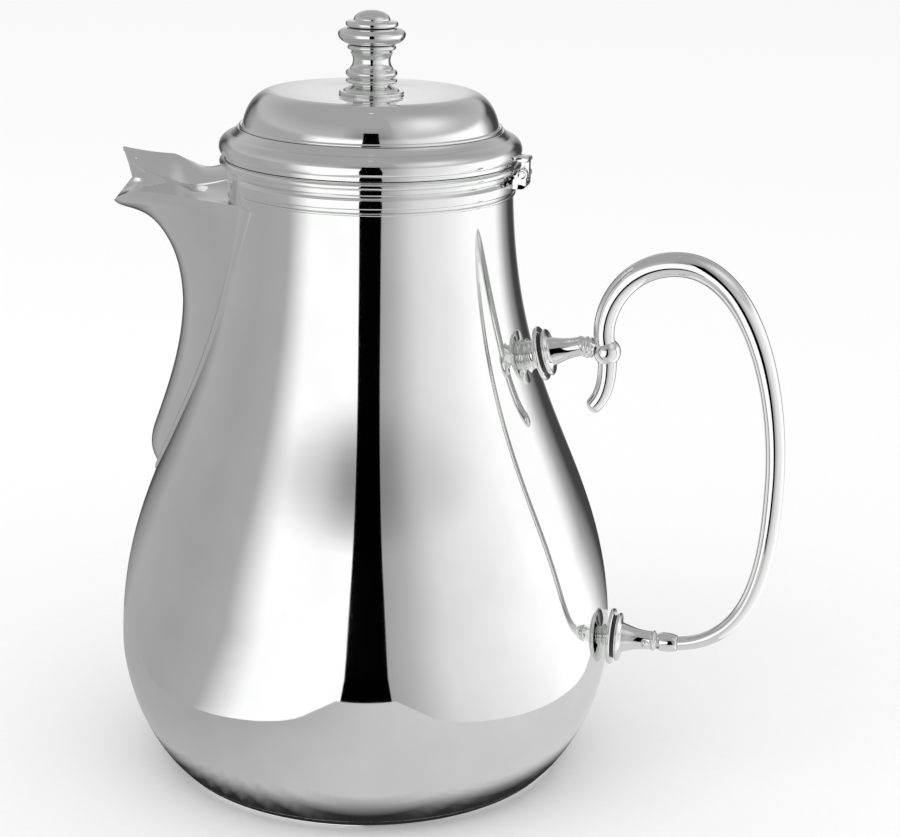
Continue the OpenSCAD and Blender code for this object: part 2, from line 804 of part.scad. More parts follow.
// Flange under the lid's edge, with a skirt that drops inside the neck
module lid_bezel() {
  skirt_r = neck_r - wall - skirt_clear;
  flange_r = lid_edge_r - 0.6;
  color("silver")
    rotate_extrude()
      polygon([
        [skirt_r - skirt_t, bezel_z - skirt_h], [skirt_r - 0.3, bezel_z - skirt_h],
        [skirt_r, bezel_z - skirt_h + 0.6], [skirt_r, bezel_z],
        [flange_r, bezel_z], [flange_r, lid_z], [skirt_r - skirt_t, lid_z]
      ]);
}

// ---- Finial ----

rod_bore = rod_d / 2 + rod_clear;
stem_r = stem_d / 2;
waist_r = waist_d / 2;
knob_r = knob_d / 2;
nut_z = seat_z - lid_t - washer_t - nut_h;

module finial_base() {
  h = finial_base_h;
  color("silver")
    rotate_extrude()
      polygon(concat(
        [[rod_bore, seat_z + h], [rod_bore, seat_z], [finial_r - 0.2, seat_z]],
        arc(finial_r - 0.35, seat_z + h * 0.14, 0.35, h * 0.14, -60, 90, 6),
        cubic_line([[finial_r - 1.1, seat_z + h * 0.3], [finial_r - 1.2, seat_z + h * 0.55],
          [waist_r + 1, seat_z + h * 0.6], [waist_r, seat_z + h * 0.85]], 8),
        [[waist_r, seat_z + h]]
      ));
}

// Stem with two rings below a hollow waist
module finial_stem() {
  h = stem_h;
  color("silver")
    rotate_extrude()
      polygon(concat(
        [[rod_bore, stem_z + h], [rod_bore, stem_z], [waist_r, stem_z]],
        arc(stem_r - 1.1, stem_z + h * 0.085, 1.1, h * 0.085, -90, 90, 8),
        arc(stem_r - 1.2, stem_z + h * 0.325, 1.2, h * 0.135, -90, 90, 10),
        cubic_line([[stem_r - 1, stem_z + h * 0.49], [waist_r - 0.1, stem_z + h * 0.6],
          [waist_r - 0.2, stem_z + h * 0.85], [waist_r + 0.9, stem_z + h]], 10)
      ));
}

// Knob: a small ring, the wide cushion, a thin ring and a button
module finial_knob() {
  h = knob_h;
  full = knob_z + h * 0.43;
  color("silver")
    difference() {
      rotate_extrude()
        polygon(concat(
          [[0, knob_z], [waist_r + 0.4, knob_z]],
          arc(waist_r + 0.8, knob_z + h * 0.11, 0.7, h * 0.06, -90, 90, 6),
          arc(waist_r - 0.2, full, knob_r - waist_r + 0.2, h * 0.26, -90, 0, 10),
          arc(waist_r - 0.2, full, knob_r - waist_r + 0.2, h * 0.17, 0, 90, 8),
          arc(waist_r + 1.3, knob_z + h * 0.67, 0.7, h * 0.07, -90, 90, 6),
          arc(0, knob_z + h * 0.76, waist_r, h * 0.24, 0, 90, 10)
        ));
      translate([0, 0, knob_z - past]) cylinder(r = rod_d / 2, h = h * 0.4 + past, $fn = 48);
    }
}

module finial_rod() {
  end = nut_z - 0.6;
  color("gray")
    translate([0, 0, end]) cylinder(d = rod_d, h = knob_z + knob_h * 0.4 - end, $fn = 48);
}

module finial_washer() {
  color("gray")
    translate([0, 0, nut_z + nut_h])
      difference() {
        cylinder(r = nut_d / 2 + 1, h = washer_t);
        translate([0, 0, -past]) cylinder(r = rod_bore, h = washer_t + 2 * past, $fn = 48);
      }
}

module finial_nut() {
  color("gray")
    translate([0, 0, nut_z])
      difference() {
        cylinder(d = nut_d, h = nut_h, $fn = 6);
        translate([0, 0, -past]) cylinder(d = rod_d, h = nut_h + 2 * past, $fn = 48);
      }
}

// ---- Handle sockets, with s measured from the body along the socket's axis ----

peg_bore = peg_d / 2 + peg_clear;
upper_disc_s = 2.75;
lower_disc_s = 1.4;

// Spool on the body that swells into a disc, with a peg that carries the next pieces
module socket_foot(z, tilt, disc_s, disc_r, spool_r) {
  color("silver")
    difference() {
      on_skin(z, tilt)
        rotate_extrude()
          polygon(concat(
            [[0, -4], [spool_r * 1.25, -4]],
            arc(spool_r * 1.25, disc_s / 2, spool_r * 0.25, disc_s * 0.45, -90, -270, 6),
            arc(disc_r - disc_t / 2, disc_s + disc_t / 2, disc_t / 2, disc_t / 2, -90, 90, 6),
            [[peg_d / 2, disc_s + disc_t], [peg_d / 2, disc_s + disc_t + washer_t + peg_l],
             [0, disc_s + disc_t + washer_t + peg_l]]
          ));
      skin_solid(z - 12, z + 12);
    }
}

module socket_washer(z, tilt, disc_s, r) {
  color("ivory")
    on_skin(z, tilt)
      translate([0, 0, disc_s + disc_t])
        difference() {
          cylinder(r = r, h = washer_t);
          translate([0, 0, -past]) cylinder(r = peg_bore, h = washer_t + 2 * past, $fn = 48);
        }
}

// Trumpet from the second disc down to a slim neck, as a profile from its own seat
function trumpet_line(r) = concat(
  arc(r - disc_t * 0.45, disc_t * 0.45, disc_t * 0.45, disc_t * 0.45, -90, 90, 6),
  cubic_line([[r * 0.62, disc_t * 1.1], [r * 0.55, trumpet_l * 0.35],
    [trumpet_neck_d / 2, trumpet_l * 0.5], [trumpet_neck_d / 2, trumpet_l]], 12)
);

module socket_trumpet(z, tilt, disc_s, r) {
  on_skin(z, tilt)
    translate([0, 0, disc_s + disc_t + washer_t])
      difference() {
        rotate_extrude() polygon(concat([[0, 0]], trumpet_line(r), [[0, trumpet_l]]));
        translate([0, 0, -past]) cylinder(r = peg_bore, h = peg_l + 0.2 + past, $fn = 48);
      }
}

module upper_foot() {
  socket_foot(upper_z, upper_tilt, upper_disc_s, upper_disc_d / 2, 3.6);
}

module upper_washer() {
  socket_washer(upper_z, upper_tilt, upper_disc_s, upper_disc_d / 2 - 1.8);
}

module upper_trumpet() {
  color("silver") socket_trumpet(upper_z, upper_tilt, upper_disc_s, upper_disc_d / 2 - 1);
}

module lower_foot() {
  socket_foot(lower_z, 0, lower_disc_s, lower_disc_d / 2, 2.4);
}

module lower_washer() {
  socket_washer(lower_z, 0, lower_disc_s, lower_disc_d / 2 - 1.8);
}

// Places along the sockets' axes, as [x, z]
upper_end_s = upper_disc_s + disc_t + washer_t + trumpet_l;
lower_end_s = lower_disc_s + disc_t + washer_t + trumpet_l;
upper_way = [cos(upper_tilt), sin(upper_tilt)];
upper_end = [skin_r(upper_z), upper_z] + upper_way * upper_end_s;
lower_end = [skin_r(lower_z) + lower_end_s, lower_z];

// Ferrule at the lower end of the handle: a spigot in the trumpet and a swelling that holds the rod
spigot_l = 3.2;
spigot_d = 3;
ferrule_l = 6.6;
ferrule_d = 5;
rod_grip = 2.2;
rivet_x = lower_end[0] - spigot_l / 2;

module lower_trumpet() {
  color("silver")
    difference() {
      socket_trumpet(lower_z, 0, lower_disc_s, lower_disc_d / 2 - 1);
      translate([lower_end[0] - spigot_l - 0.2, 0, lower_z])
        rotate([0, 90, 0]) cylinder(d = spigot_d + 2 * peg_clear, h = spigot_l + 0.2 + past, $fn = 48);
      rivet_hole();
    }
}

module rivet_hole() {
  translate([rivet_x, 0, lower_z])
    rotate([90, 0, 0]) cylinder(d = rivet_d, h = 3 * trumpet_neck_d, center = true, $fn = 32);
}

module lower_ferrule() {
  r = ferrule_d / 2;
  neck = trumpet_neck_d / 2;
  color("silver")
    difference() {
      translate([lower_end[0], 0, lower_z])
        rotate([0, 90, 0])
          rotate_extrude()
            polygon(concat(
              [[0, -spigot_l], [spigot_d / 2, -spigot_l], [spigot_d / 2, 0], [neck, 0]],
              arc(neck, 0.4, 0.3, 0.4, -90, 90, 6),
              cubic_line([[neck - 0.4, 1], [neck - 0.5, 1.6], [r, 1.8], [r, 3]], 8),
              cubic_line([[r, 3.6], [r, 5], [r - 0.3, ferrule_l - 0.3], [rod_end_d / 2 + 0.2, ferrule_l]], 6),
              [[0, ferrule_l]]
            ));
      translate([lower_end[0] + ferrule_l - rod_grip, 0, lower_z])
        rotate([0, 90, 0]) cylinder(d = rod_end_d + 2 * peg_clear, h = rod_grip + past, $fn = 48);
      rivet_hole();
    }
}

module lower_rivet() {
  head = 0.35;
  l = trumpet_neck_d + 0.3;
  color("silver")
    translate([rivet_x, 0, lower_z])
      rotate([90, 0, 0])
        union() {
          cylinder(d = rivet_d, h = l, center = true, $fn = 32);
          for (side = [-1, 1])
            translate([0, 0, side * (l + head) / 2]) cylinder(d = rivet_d + 0.4, h = head, center = true, $fn = 32);
        }
}

// ---- Handle: tail, ball and rod in one casting ----

// Middle of the ball, from the end of the upper trumpet
ball_step = [6.4, -1.1];
ball_at = upper_end + ball_step;
rod_start = [lower_end[0] + ferrule_l, lower_z];

// Middle line of the handle in the XZ plane: the tail, then the rod in three stretches
tail_curve = [
  ball_at + [-4, -tail_h],
  ball_at + [-0.6, -0.81 * tail_h],
  ball_at + [0.7, -0.52 * tail_h],
  ball_at
];
rod_curves = [
  ball_at,
  ball_at + [-3.7, 8.4],
  [crown_x - 14.7, handle_z],
  [crown_x, handle_z],
  [crown_x + 17.4, handle_z],
  [handle_x, grip_z + 25.4],
  [handle_x, grip_z],
  [handle_x, grip_z - 22.6],
  rod_start + [19.3, 2.3],
  rod_start
];
// Radius of the rod at the ball, crown, side and lower end
rod_radii = [2.6, rod_top_d / 2, rod_side_d / 2, rod_end_d / 2];

ball_r = ball_d / 2;
ring_sides = 16;
// Gap between the upper collar and the ball and rod
collar_gap = 0.5;

// Radius where the handle runs through its ball
function with_ball(p, r) =
  let (d = norm(p - ball_at))
  d < ball_r ? max(r, sqrt(ball_r * ball_r - d * d)) : r;

// Sections [x, z, radius] of the tail, from a rounded tip to the ball
tail_steps = [0, 0.01, 0.035, 0.07, 0.12, 0.2, 0.3, 0.42, 0.54, 0.64, 0.7, 0.74, 0.79, 0.85, 0.92];
tail_sections = [
  for (t = tail_steps)
    let (
      p = cubic(tail_curve, t),
      tip = max(0, 1 - t / 0.12),
      r = tail_d / 2 * sqrt(max(0.02, 1 - tip * tip))
    )
    [p[0], p[1], with_ball(p, r)]
];
rod_steps = 42;
rod_sections = [
  for (i = [0:rod_steps])
    let (
      t = i / rod_steps,
      near = t < 0.1 ? pow(t / 0.1, 1.3) * 0.1 : t,
      p = chain(rod_curves, near),
      k = min(2, floor(near * 3)),
      r = lerp(rod_radii[k], rod_radii[k + 1], ease(near * 3 - k))
    )
    [p[0], p[1], with_ball(p, r)]
];
grip_section = [[rod_start[0] - rod_grip + 0.1, lower_z, rod_end_d / 2]];
// Round casting through sections [x, z, radius] in the XZ plane
module swept(sections) {
  last = len(sections) - 1;
  rings = [
    for (i = [0:last])
      let (
        a = sections[max(0, i - 1)],
        b = sections[min(last, i + 1)],
        way = [b[0] - a[0], b[1] - a[1]] / norm([b[0] - a[0], b[1] - a[1]])
      )
      each [for (j = [0:ring_sides - 1])
        let (c = sections[i][2] * cos(360 * j / ring_sides), s = sections[i][2] * sin(360 * j / ring_sides))
        [sections[i][0] - way[1] * c, s, sections[i][1] + way[0] * c]]
  ];
  sides = [
    for (i = [0:last - 1], j = [0:ring_sides - 1])
      let (n = (j + 1) % ring_sides)
      each [[i * ring_sides + j, (i + 1) * ring_sides + j, i * ring_sides + n],
            [i * ring_sides + n, (i + 1) * ring_sides + j, (i + 1) * ring_sides + n]]
  ];
  first_end = [for (j = [0:ring_sides - 1]) j];
  last_end = [for (j = [ring_sides - 1:-1:0]) last * ring_sides + j];
  polyhedron(rings, concat(sides, [first_end, last_end]));
}

module handle() {
  color("silver") swept(concat(tail_sections, rod_sections, grip_section));
}

// Two thin rings between the trumpet and the ball, cut to sit on both
module upper_collar() {
  away = atan2(-ball_step[1], ball_step[0]);
  back = norm(ball_step);
  r = trumpet_neck_d / 2;
  ring_at = back * 0.8;
  rod_way = [rod_sections[3][0], rod_sections[3][1]] - ball_at;
  color("silver")
    difference() {
      translate([ball_at[0], 0, ball_at[1]])
        rotate([0, -90 + away, 0])
          rotate_extrude()
            polygon(concat(
              [[0, 0], [r - 0.1, 0], [r - 0.1, ring_at - 1.3]],
              arc(r - 0.1, ring_at - 0.7, 0.35, 0.5, -90, 90, 6),
              arc(r - 0.1, ring_at + 0.4, 0.35, 0.5, -90, 90, 6),
              [[r, back + 1.5], [0, back + 1.5]]
            ));
      translate([ball_at[0], 0, ball_at[1]]) sphere(r = ball_r + collar_gap);
      translate([ball_at[0], 0, ball_at[1]])
        rotate([0, atan2(rod_way[0], rod_way[1]), 0]) cylinder(r = rod_radii[0] + collar_gap, h = 3 * ball_r);
      translate([upper_end[0], 0, upper_end[1]])
        rotate([0, -90 - upper_tilt, 0]) cylinder(r = ball_d, h = 4);
    }
}

body_shell();
base_plate();
foot_ring();
neck_wire();
neck_band();
rim_ring();
spout();
spout_cover();
spout_seam();
strainer();
hinge_bracket();
hinge_pin();
lid_leaf();
lid_shell();
lid_bead();
lid_bezel();
finial_base();
finial_stem();
finial_knob();
finial_rod();
finial_washer();
finial_nut();
handle();
upper_foot();
upper_washer();
upper_trumpet();
upper_collar();
lower_foot();
lower_washer();
lower_trumpet();
lower_ferrule();
lower_rivet();
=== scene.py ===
"""Polished silver coffee pot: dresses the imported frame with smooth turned, swept and lofted silver."""

import math

import bmesh
import bpy
import numpy as np
from mathutils import Matrix, Vector


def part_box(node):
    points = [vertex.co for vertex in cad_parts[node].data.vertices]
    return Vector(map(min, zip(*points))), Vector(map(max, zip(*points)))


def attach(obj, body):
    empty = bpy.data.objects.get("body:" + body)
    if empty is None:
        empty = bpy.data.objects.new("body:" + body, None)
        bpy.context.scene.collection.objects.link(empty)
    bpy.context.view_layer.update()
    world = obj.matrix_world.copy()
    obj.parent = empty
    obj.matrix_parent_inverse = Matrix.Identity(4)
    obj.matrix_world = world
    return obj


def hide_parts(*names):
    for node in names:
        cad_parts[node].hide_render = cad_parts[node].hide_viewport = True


bl_info = {
    "name": "Silver Coffee Pot",
    "version": (1, 0, 0),
    "blender": (4, 5, 0),
    "location": "View3D > Sidebar > Coffee Pot",
    "description": "Builds the visible surfaces of a polished coffee pot round its frame",
    "category": "Object",
}

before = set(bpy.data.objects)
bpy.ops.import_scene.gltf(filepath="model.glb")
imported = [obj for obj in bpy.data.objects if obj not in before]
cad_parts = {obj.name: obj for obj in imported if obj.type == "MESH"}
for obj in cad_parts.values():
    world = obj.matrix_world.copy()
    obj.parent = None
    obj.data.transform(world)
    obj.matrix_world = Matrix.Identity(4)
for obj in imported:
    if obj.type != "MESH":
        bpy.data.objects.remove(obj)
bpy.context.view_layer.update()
MM = 0.001
POT = "pot"
LID = "lid"


# ---- Colours ----


def linear(code):
    """An sRGB hex colour as a linear (r, g, b, 1)."""
    parts = [int(code[i : i + 2], 16) / 255 for i in (1, 3, 5)]
    return tuple(c / 12.92 if c <= 0.04045 else ((c + 0.055) / 1.055) ** 2.4 for c in parts) + (1.0,)


# ---- Settings that a user would change ----


def length(name, description, millimetres):
    """A size property in metres, with its default given in millimetres."""
    return bpy.props.FloatProperty(
        name=name, description=description, default=millimetres * MM, min=0.0, unit="LENGTH", precision=5
    )


def colour(name, description, code):
    """A colour property with its default given as an sRGB hex code."""
    return bpy.props.FloatVectorProperty(
        name=name, description=description, default=linear(code), size=4, min=0.0, max=1.0, subtype="COLOR"
    )


class PotSizes(bpy.types.PropertyGroup):
    """Sizes of the smooth surfaces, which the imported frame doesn't already give."""

    spin_steps: bpy.props.IntProperty(
        name="Spin steps", description="Steps round a large turned piece", default=288
    )
    small_spin_steps: bpy.props.IntProperty(
        name="Small spin steps", description="Steps round a small turned piece", default=96
    )
    edge_round: length("Edge rounding", "Radius that polishing leaves on a turned edge", 0.12)
    spout_toe: length("Spout toe", "Height of the spout's toe above the table", 75.6)
    spout_lip: length("Spout lip", "Height of the lower lip above the table", 145.4)
    spout_shoulder: length("Spout shoulder", "Height of the shoulder line at the body", 151.3)
    spout_reach: length("Spout reach", "How far the lower lip stands out from the body", 33.0)
    spout_width: length("Spout width", "Greatest width of the spout where it meets the body", 51.0)
    spout_wall: length("Spout wall", "Thickness of the spout's walls", 1.1)
    bill_reach: length("Bill reach", "How far the upper lip stands out from the body", 30.7)
    bill_height: length("Bill height", "Height of the upper lip above the table", 159.8)
    saddle_height: length("Saddle height", "Height of the dip in the cover above the table", 155.8)
    seam_width: length("Seam width", "Width of the soldered seam at the top of the spout", 3.0)
    seam_thickness: length("Seam thickness", "Thickness of the soldered seam", 0.6)
    rod_at_ball: length("Rod radius at the ball", "Radius of the handle rod where it leaves the ball", 2.6)
    rod_at_crown: length("Rod radius at the crown", "Radius of the handle rod at its highest point", 3.1)
    rod_at_side: length("Rod radius at the side", "Radius of the handle rod at its outermost point", 2.4)
    rod_at_end: length("Rod radius at the end", "Radius of the handle rod at its lower end", 1.8)
    ball_radius: length("Ball radius", "Radius of the ball at the top of the handle", 3.5)
    tail_radius: length("Tail radius", "Radius of the hooked tail below the ball", 2.45)


class PotColours(bpy.types.PropertyGroup):
    """Colours of the metals, the washers and the stage."""

    silver: colour("Silver", "Colour that polished silver gives to what it reflects", "#F1F2F1")
    tarnish: colour("Tarnish", "Faint cast where polish is thin", "#ECEDEC")
    steel: colour("Steel", "Colour of the steel fastener inside the lid", "#B9BBBD")
    washer: colour("Washer", "Colour of the insulating washers", "#2B2A29")
    floor: colour("Floor", "Colour of the table", "#F8F8F8")


# ---- Curves and meshes ----


def cubic(points, t):
    """Point of a cubic curve through control points or numbers, for one t or an array of them."""
    p = [np.asarray(q, float) for q in points]
    t = np.asarray(t, float)
    if p[0].ndim:
        t = t[..., None]
    return p[0] * (1 - t) ** 3 + p[1] * 3 * (1 - t) ** 2 * t + p[2] * 3 * (1 - t) * t * t + p[3] * t**3


def chain(points, t):
    """Points of a chain of cubic curves that share their ends, with t from 0 to 1 over the chain."""
    parts = (len(points) - 1) // 3
    out = []
    for value in np.atleast_1d(t):
        k = min(parts - 1, int(value * parts))
        out.append(cubic(points[3 * k : 3 * k + 4], value * parts - k))
    return np.array(out)


def ease(t):
    """Smooth rise from 0 to 1."""
    u = np.clip(t, 0, 1)
    return u * u * (3 - 2 * u)


def along(x, stretch):
    """How far x has come along a stretch, given as its start and its length."""
    start, size = stretch
    return (x - start) / size


def smooth_run(points, per_step, closed=False):
    """A Catmull-Rom curve through 2-D points, spaced by the square root of their distance."""
    p = np.asarray(points, float)
    if closed:
        p = np.vstack([p[-1], p, p[0], p[1]])
    else:
        p = np.vstack([2 * p[0] - p[1], p, 2 * p[-1] - p[-2]])
    knots = np.concatenate([[0], np.cumsum(np.sqrt(np.linalg.norm(np.diff(p, axis=0), axis=1)) + 1e-9)])
    out = []
    for i in range(1, len(p) - 2):
        t0, t1, t2, t3 = knots[i - 1 : i + 3]
        for t in np.linspace(t1, t2, per_step, endpoint=False):
            a1 = ((t1 - t) * p[i - 1] + (t - t0) * p[i]) / (t1 - t0)
            a2 = ((t2 - t) * p[i] + (t - t1) * p[i + 1]) / (t2 - t1)
            a3 = ((t3 - t) * p[i + 1] + (t - t2) * p[i + 2]) / (t3 - t2)
            b1 = ((t2 - t) * a1 + (t - t0) * a2) / (t2 - t0)
            b2 = ((t3 - t) * a2 + (t - t1) * a3) / (t3 - t1)
            out.append(((t2 - t) * b1 + (t - t1) * b2) / (t2 - t1))
    if not closed:
        out.append(p[-2])
    return np.array(out)


def add_piece(name, points, faces, material, slot, body, nodes):
    """A smooth-shaded mesh that rides on a body and stands for the named CAD nodes."""
    mesh = bpy.data.meshes.new(name)
    mesh.from_pydata([tuple(p) for p in points], [], [tuple(f) for f in faces])
    mesh.validate()
    mesh.materials.append(material)
    mesh.shade_smooth()
    piece = bpy.data.objects.new(name, mesh)
    bpy.context.scene.collection.objects.link(piece)
    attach(piece, body)
    if nodes:
        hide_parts(*nodes)
    return piece


def grid_faces(rows, cols, wrap_rows=False, wrap_cols=False, first=0):
    """Quads between neighbouring rows and columns of points."""
    faces = []
    for i in range(rows if wrap_rows else rows - 1):
        for j in range(cols if wrap_cols else cols - 1):
            a, b = i, (i + 1) % rows
            c, d = j, (j + 1) % cols
            faces.append([first + k for k in (a * cols + c, a * cols + d, b * cols + d, b * cols + c)])
    return faces


def sheet_mesh(outer, inner):
    """Points and faces of a sheet between two grids with equal rows and columns."""
    rows, cols = outer.shape[:2]
    half = rows * cols
    points = np.vstack([outer.reshape(-1, 3), inner.reshape(-1, 3)])
    faces = grid_faces(rows, cols) + [f[::-1] for f in grid_faces(rows, cols, first=half)]
    rim = [j for j in range(cols)] + [i * cols + cols - 1 for i in range(1, rows)]
    rim += [(rows - 1) * cols + j for j in range(cols - 2, -1, -1)]
    rim += [i * cols for i in range(rows - 2, 0, -1)]
    for a, b in zip(rim, rim[1:] + rim[:1]):
        faces.append([b, a, a + half, b + half])
    return points, faces


def hold_edges(piece, degrees):
    """Marks the edges sharper than an angle, so that the faces beside them shade apart."""
    mesh = piece.data
    mesh.calc_loop_triangles()
    normals = [f.normal.copy() for f in mesh.polygons]
    beside = {}
    for f in mesh.polygons:
        for key in f.edge_keys:
            beside.setdefault(key, []).append(f.index)
    limit = math.cos(math.radians(degrees))
    for edge in mesh.edges:
        pair = beside.get(tuple(sorted(edge.vertices)), [])
        edge.use_edge_sharp = len(pair) == 2 and normals[pair[0]].dot(normals[pair[1]]) < limit


# ---- Sections of turned pieces, read from the frame ----

# Points this near each other, in metres, lie on one circle
SAME_CIRCLE = 6e-6
# Fewest points of a whole circle, and fewest edges that join two of them all the way round
CIRCLE_POINTS = 6
CIRCLE_JOINS = 12
# Turn of the section, in degrees, above which it is a corner
CORNER = 40


def circles_of(node, start, axis):
    """Circles of a turned CAD node as (radius, height), and the pairs of circles that its faces join."""
    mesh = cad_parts[node].data
    co = np.array([v.co for v in mesh.vertices], float)
    rel = co - start
    height = rel @ axis
    radius = np.linalg.norm(rel - np.outer(height, axis), axis=1)
    places = np.column_stack((radius, height))
    circles = np.empty((0, 2))
    label = np.zeros(len(places), int)
    for i, place in enumerate(places):
        gap = np.linalg.norm(circles - place, axis=1) if len(circles) else np.array([1.0])
        if gap.min() > SAME_CIRCLE:
            circles = np.vstack([circles, place])
            label[i] = len(circles) - 1
        else:
            label[i] = int(gap.argmin())
    spots = [set() for _ in circles]
    for i, k in enumerate(label):
        spots[k].add(tuple(np.round(co[i] / SAME_CIRCLE).astype(int)))
    whole = [len(s) >= CIRCLE_POINTS or circles[k][0] < SAME_CIRCLE for k, s in enumerate(spots)]
    times = {}
    for face in mesh.polygons:
        loop = [label[v] for v in face.vertices]
        for a, b in zip(loop, loop[1:] + loop[:1]):
            if a != b and whole[a] and whole[b]:
                pair = (min(a, b), max(a, b))
                times[pair] = times.get(pair, 0) + 1
    joins = {}
    for (a, b), count in times.items():
        if count >= CIRCLE_JOINS:
            joins.setdefault(a, set()).add(b)
            joins.setdefault(b, set()).add(a)
    return circles, joins


def section_of(node, start=(0, 0, 0), axis=(0, 0, 1)):
    """Section of a turned CAD node in order round its edge, and whether the section closes on itself."""
    circles, joins = circles_of(node, np.array(start, float), np.array(axis, float))
    ends = [k for k, near in joins.items() if len(near) == 1]
    order = [ends[0] if ends else next(iter(joins))]
    while True:
        ahead = [k for k in joins[order[-1]] if k not in order[-2:] and k != order[0]]
        if not ahead or ahead[0] in order:
            break
        order.append(ahead[0])
    return circles[order], not ends


def soften(section, closed, size):
    """The section with each corner cut back to a small round, and the runs between corners made smooth."""
    count = len(section)
    out = []
    for i, here in enumerate(section):
        if not closed and i in (0, count - 1):
            out.append(here)
            continue
        back, ahead = section[i - 1] - here, section[(i + 1) % count] - here
        bend = -(back @ ahead) / np.linalg.norm(back) / np.linalg.norm(ahead)
        turn = np.degrees(np.arccos(np.clip(bend, -1, 1)))
        if turn < CORNER:
            out.append(here)
            continue
        cut = min(size, 0.3 * np.linalg.norm(back), 0.3 * np.linalg.norm(ahead))
        a = here + back / np.linalg.norm(back) * cut
        b = here + ahead / np.linalg.norm(ahead) * cut
        out += [a, a * 0.25 + b * 0.25 + here * 0.5, b]
    return np.array(out)


def turned_piece(name, node, material, slot, body, start=(0, 0, 0), axis=(0, 0, 1), steps=None, fine=3):
    """Smooth turned mesh with the section of a CAD node."""
    sizes = bpy.context.scene.pot_sizes
    steps = steps or sizes.small_spin_steps
    section, closed = section_of(node, start, axis)
    line = smooth_run(soften(section, closed, sizes.edge_round), fine, closed)
    line[:, 0] = np.maximum(line[:, 0], 0)
    return spin(name, line, closed, steps, material, slot, body, [node], start, axis)


def spin(name, line, closed, steps, material, slot, body, nodes, start=(0, 0, 0), axis=(0, 0, 1)):
    """Turns a line of (radius, height) about an axis."""
    up = Vector(axis).normalized()
    turn = up.to_track_quat("Z", "Y").to_matrix().to_4x4()
    place = Matrix.Translation(Vector(start)) @ turn
    angles = np.linspace(0, 2 * math.pi, steps, endpoint=False)
    ring = np.column_stack((np.cos(angles), np.sin(angles)))
    points = [place @ Vector((r * c, r * s, z)) for r, z in line for c, s in ring]
    faces = grid_faces(len(line), steps, wrap_rows=closed, wrap_cols=True)
    if not closed:
        for first, row in ((0, 1), (len(line) - 1, -1)):
            if line[first][0] > 1e-7:
                loop = [first * steps + j for j in range(steps)]
                faces.append(loop if row < 0 else loop[::-1])
    piece = add_piece(name, points, faces, material, slot, body, nodes)
    tidy_mesh(piece)
    return piece


def tidy_mesh(piece):
    """Merges points that coincide and turns every face outward."""
    work = bmesh.new()
    work.from_mesh(piece.data)
    bmesh.ops.remove_doubles(work, verts=work.verts, dist=2e-7)
    bmesh.ops.recalc_face_normals(work, faces=work.faces)
    work.to_mesh(piece.data)
    work.free()
    piece.data.shade_smooth()


def dressed_copy(name, node, material, body, bevel=0.1 * MM, degrees=28):
    """A copy of a CAD node's mesh with its edges rounded, for pieces that aren't turned."""
    work = bmesh.new()
    work.from_mesh(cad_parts[node].data)
    bmesh.ops.remove_doubles(work, verts=work.verts, dist=2e-6)
    bmesh.ops.dissolve_limit(work, angle_limit=math.radians(1.0), verts=work.verts, edges=work.edges)
    bmesh.ops.recalc_face_normals(work, faces=work.faces)
    mesh = bpy.data.meshes.new(name)
    work.to_mesh(mesh)
    work.free()
    mesh.materials.clear()
    mesh.materials.append(material)
    mesh.shade_smooth()
    piece = bpy.data.objects.new(name, mesh)
    bpy.context.scene.collection.objects.link(piece)
    if bevel:
        round_edges = piece.modifiers.new("Round edges", "BEVEL")
        round_edges.width = bevel
        round_edges.segments = 2
        round_edges.limit_method = "ANGLE"
        round_edges.angle_limit = math.radians(degrees)
        round_edges.harden_normals = True
    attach(piece, body)
    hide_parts(node)
    return piece


# ---- Materials ----


def node_with(tree, kind, settings=(), links=()):
    """Adds a node, sets its attributes or input values, and links its inputs."""
    made = tree.nodes.new(kind)
    for key, value in dict(settings).items():
        if isinstance(key, str) and hasattr(made, key):
            setattr(made, key, value)
        else:
            made.inputs[key].default_value = value
    for key, source in dict(links).items():
        tree.links.new(source, made.inputs[key])
    return made


def empty_material(name):
    """A material with no nodes, and its tree."""
    material = bpy.data.materials.new(name)
    material.use_nodes = True
    material.node_tree.nodes.clear()
    return material, material.node_tree


def ramp(tree, source, low, high, dark, light):
    """A smooth change between two colours as a value goes from low to high."""
    made = node_with(tree, "ShaderNodeValToRGB", links={"Fac": source})
    made.color_ramp.elements[0].position = low
    made.color_ramp.elements[0].color = dark
    made.color_ramp.elements[1].position = high
    made.color_ramp.elements[1].color = light
    return made.outputs["Color"]


def buffed_metal(name, light, cast, roughness, haze_mm, line_mm, line_depth_mm):
    """A metal with faint cloudy haze and hairlines from its finishing."""
    material, tree = empty_material(name)
    place = node_with(tree, "ShaderNodeTexCoord").outputs["Object"]
    haze = node_with(
        tree,
        "ShaderNodeTexNoise",
        {"Scale": 1 / (haze_mm * MM), "Detail": 3.0, "Roughness": 0.5},
        {"Vector": place},
    ).outputs["Fac"]
    hairs = node_with(
        tree,
        "ShaderNodeTexNoise",
        {"Scale": 1 / (line_mm * MM), "Detail": 2.0, "Roughness": 0.6},
        {"Vector": place},
    ).outputs["Fac"]
    bump = node_with(
        tree, "ShaderNodeBump", {"Strength": 1.0, "Distance": line_depth_mm * MM}, {"Height": hairs}
    ).outputs["Normal"]
    rough = node_with(
        tree,
        "ShaderNodeMapRange",
        {"From Min": 0.3, "From Max": 0.7, "To Min": roughness * 0.8, "To Max": roughness * 1.3},
        {"Value": haze},
    ).outputs["Result"]
    shader = node_with(
        tree,
        "ShaderNodeBsdfPrincipled",
        {"Metallic": 1.0},
        {"Base Color": ramp(tree, haze, 0.35, 0.65, cast, light), "Roughness": rough, "Normal": bump},
    )
    node_with(tree, "ShaderNodeOutputMaterial", links={"Surface": shader.outputs["BSDF"]})
    return material


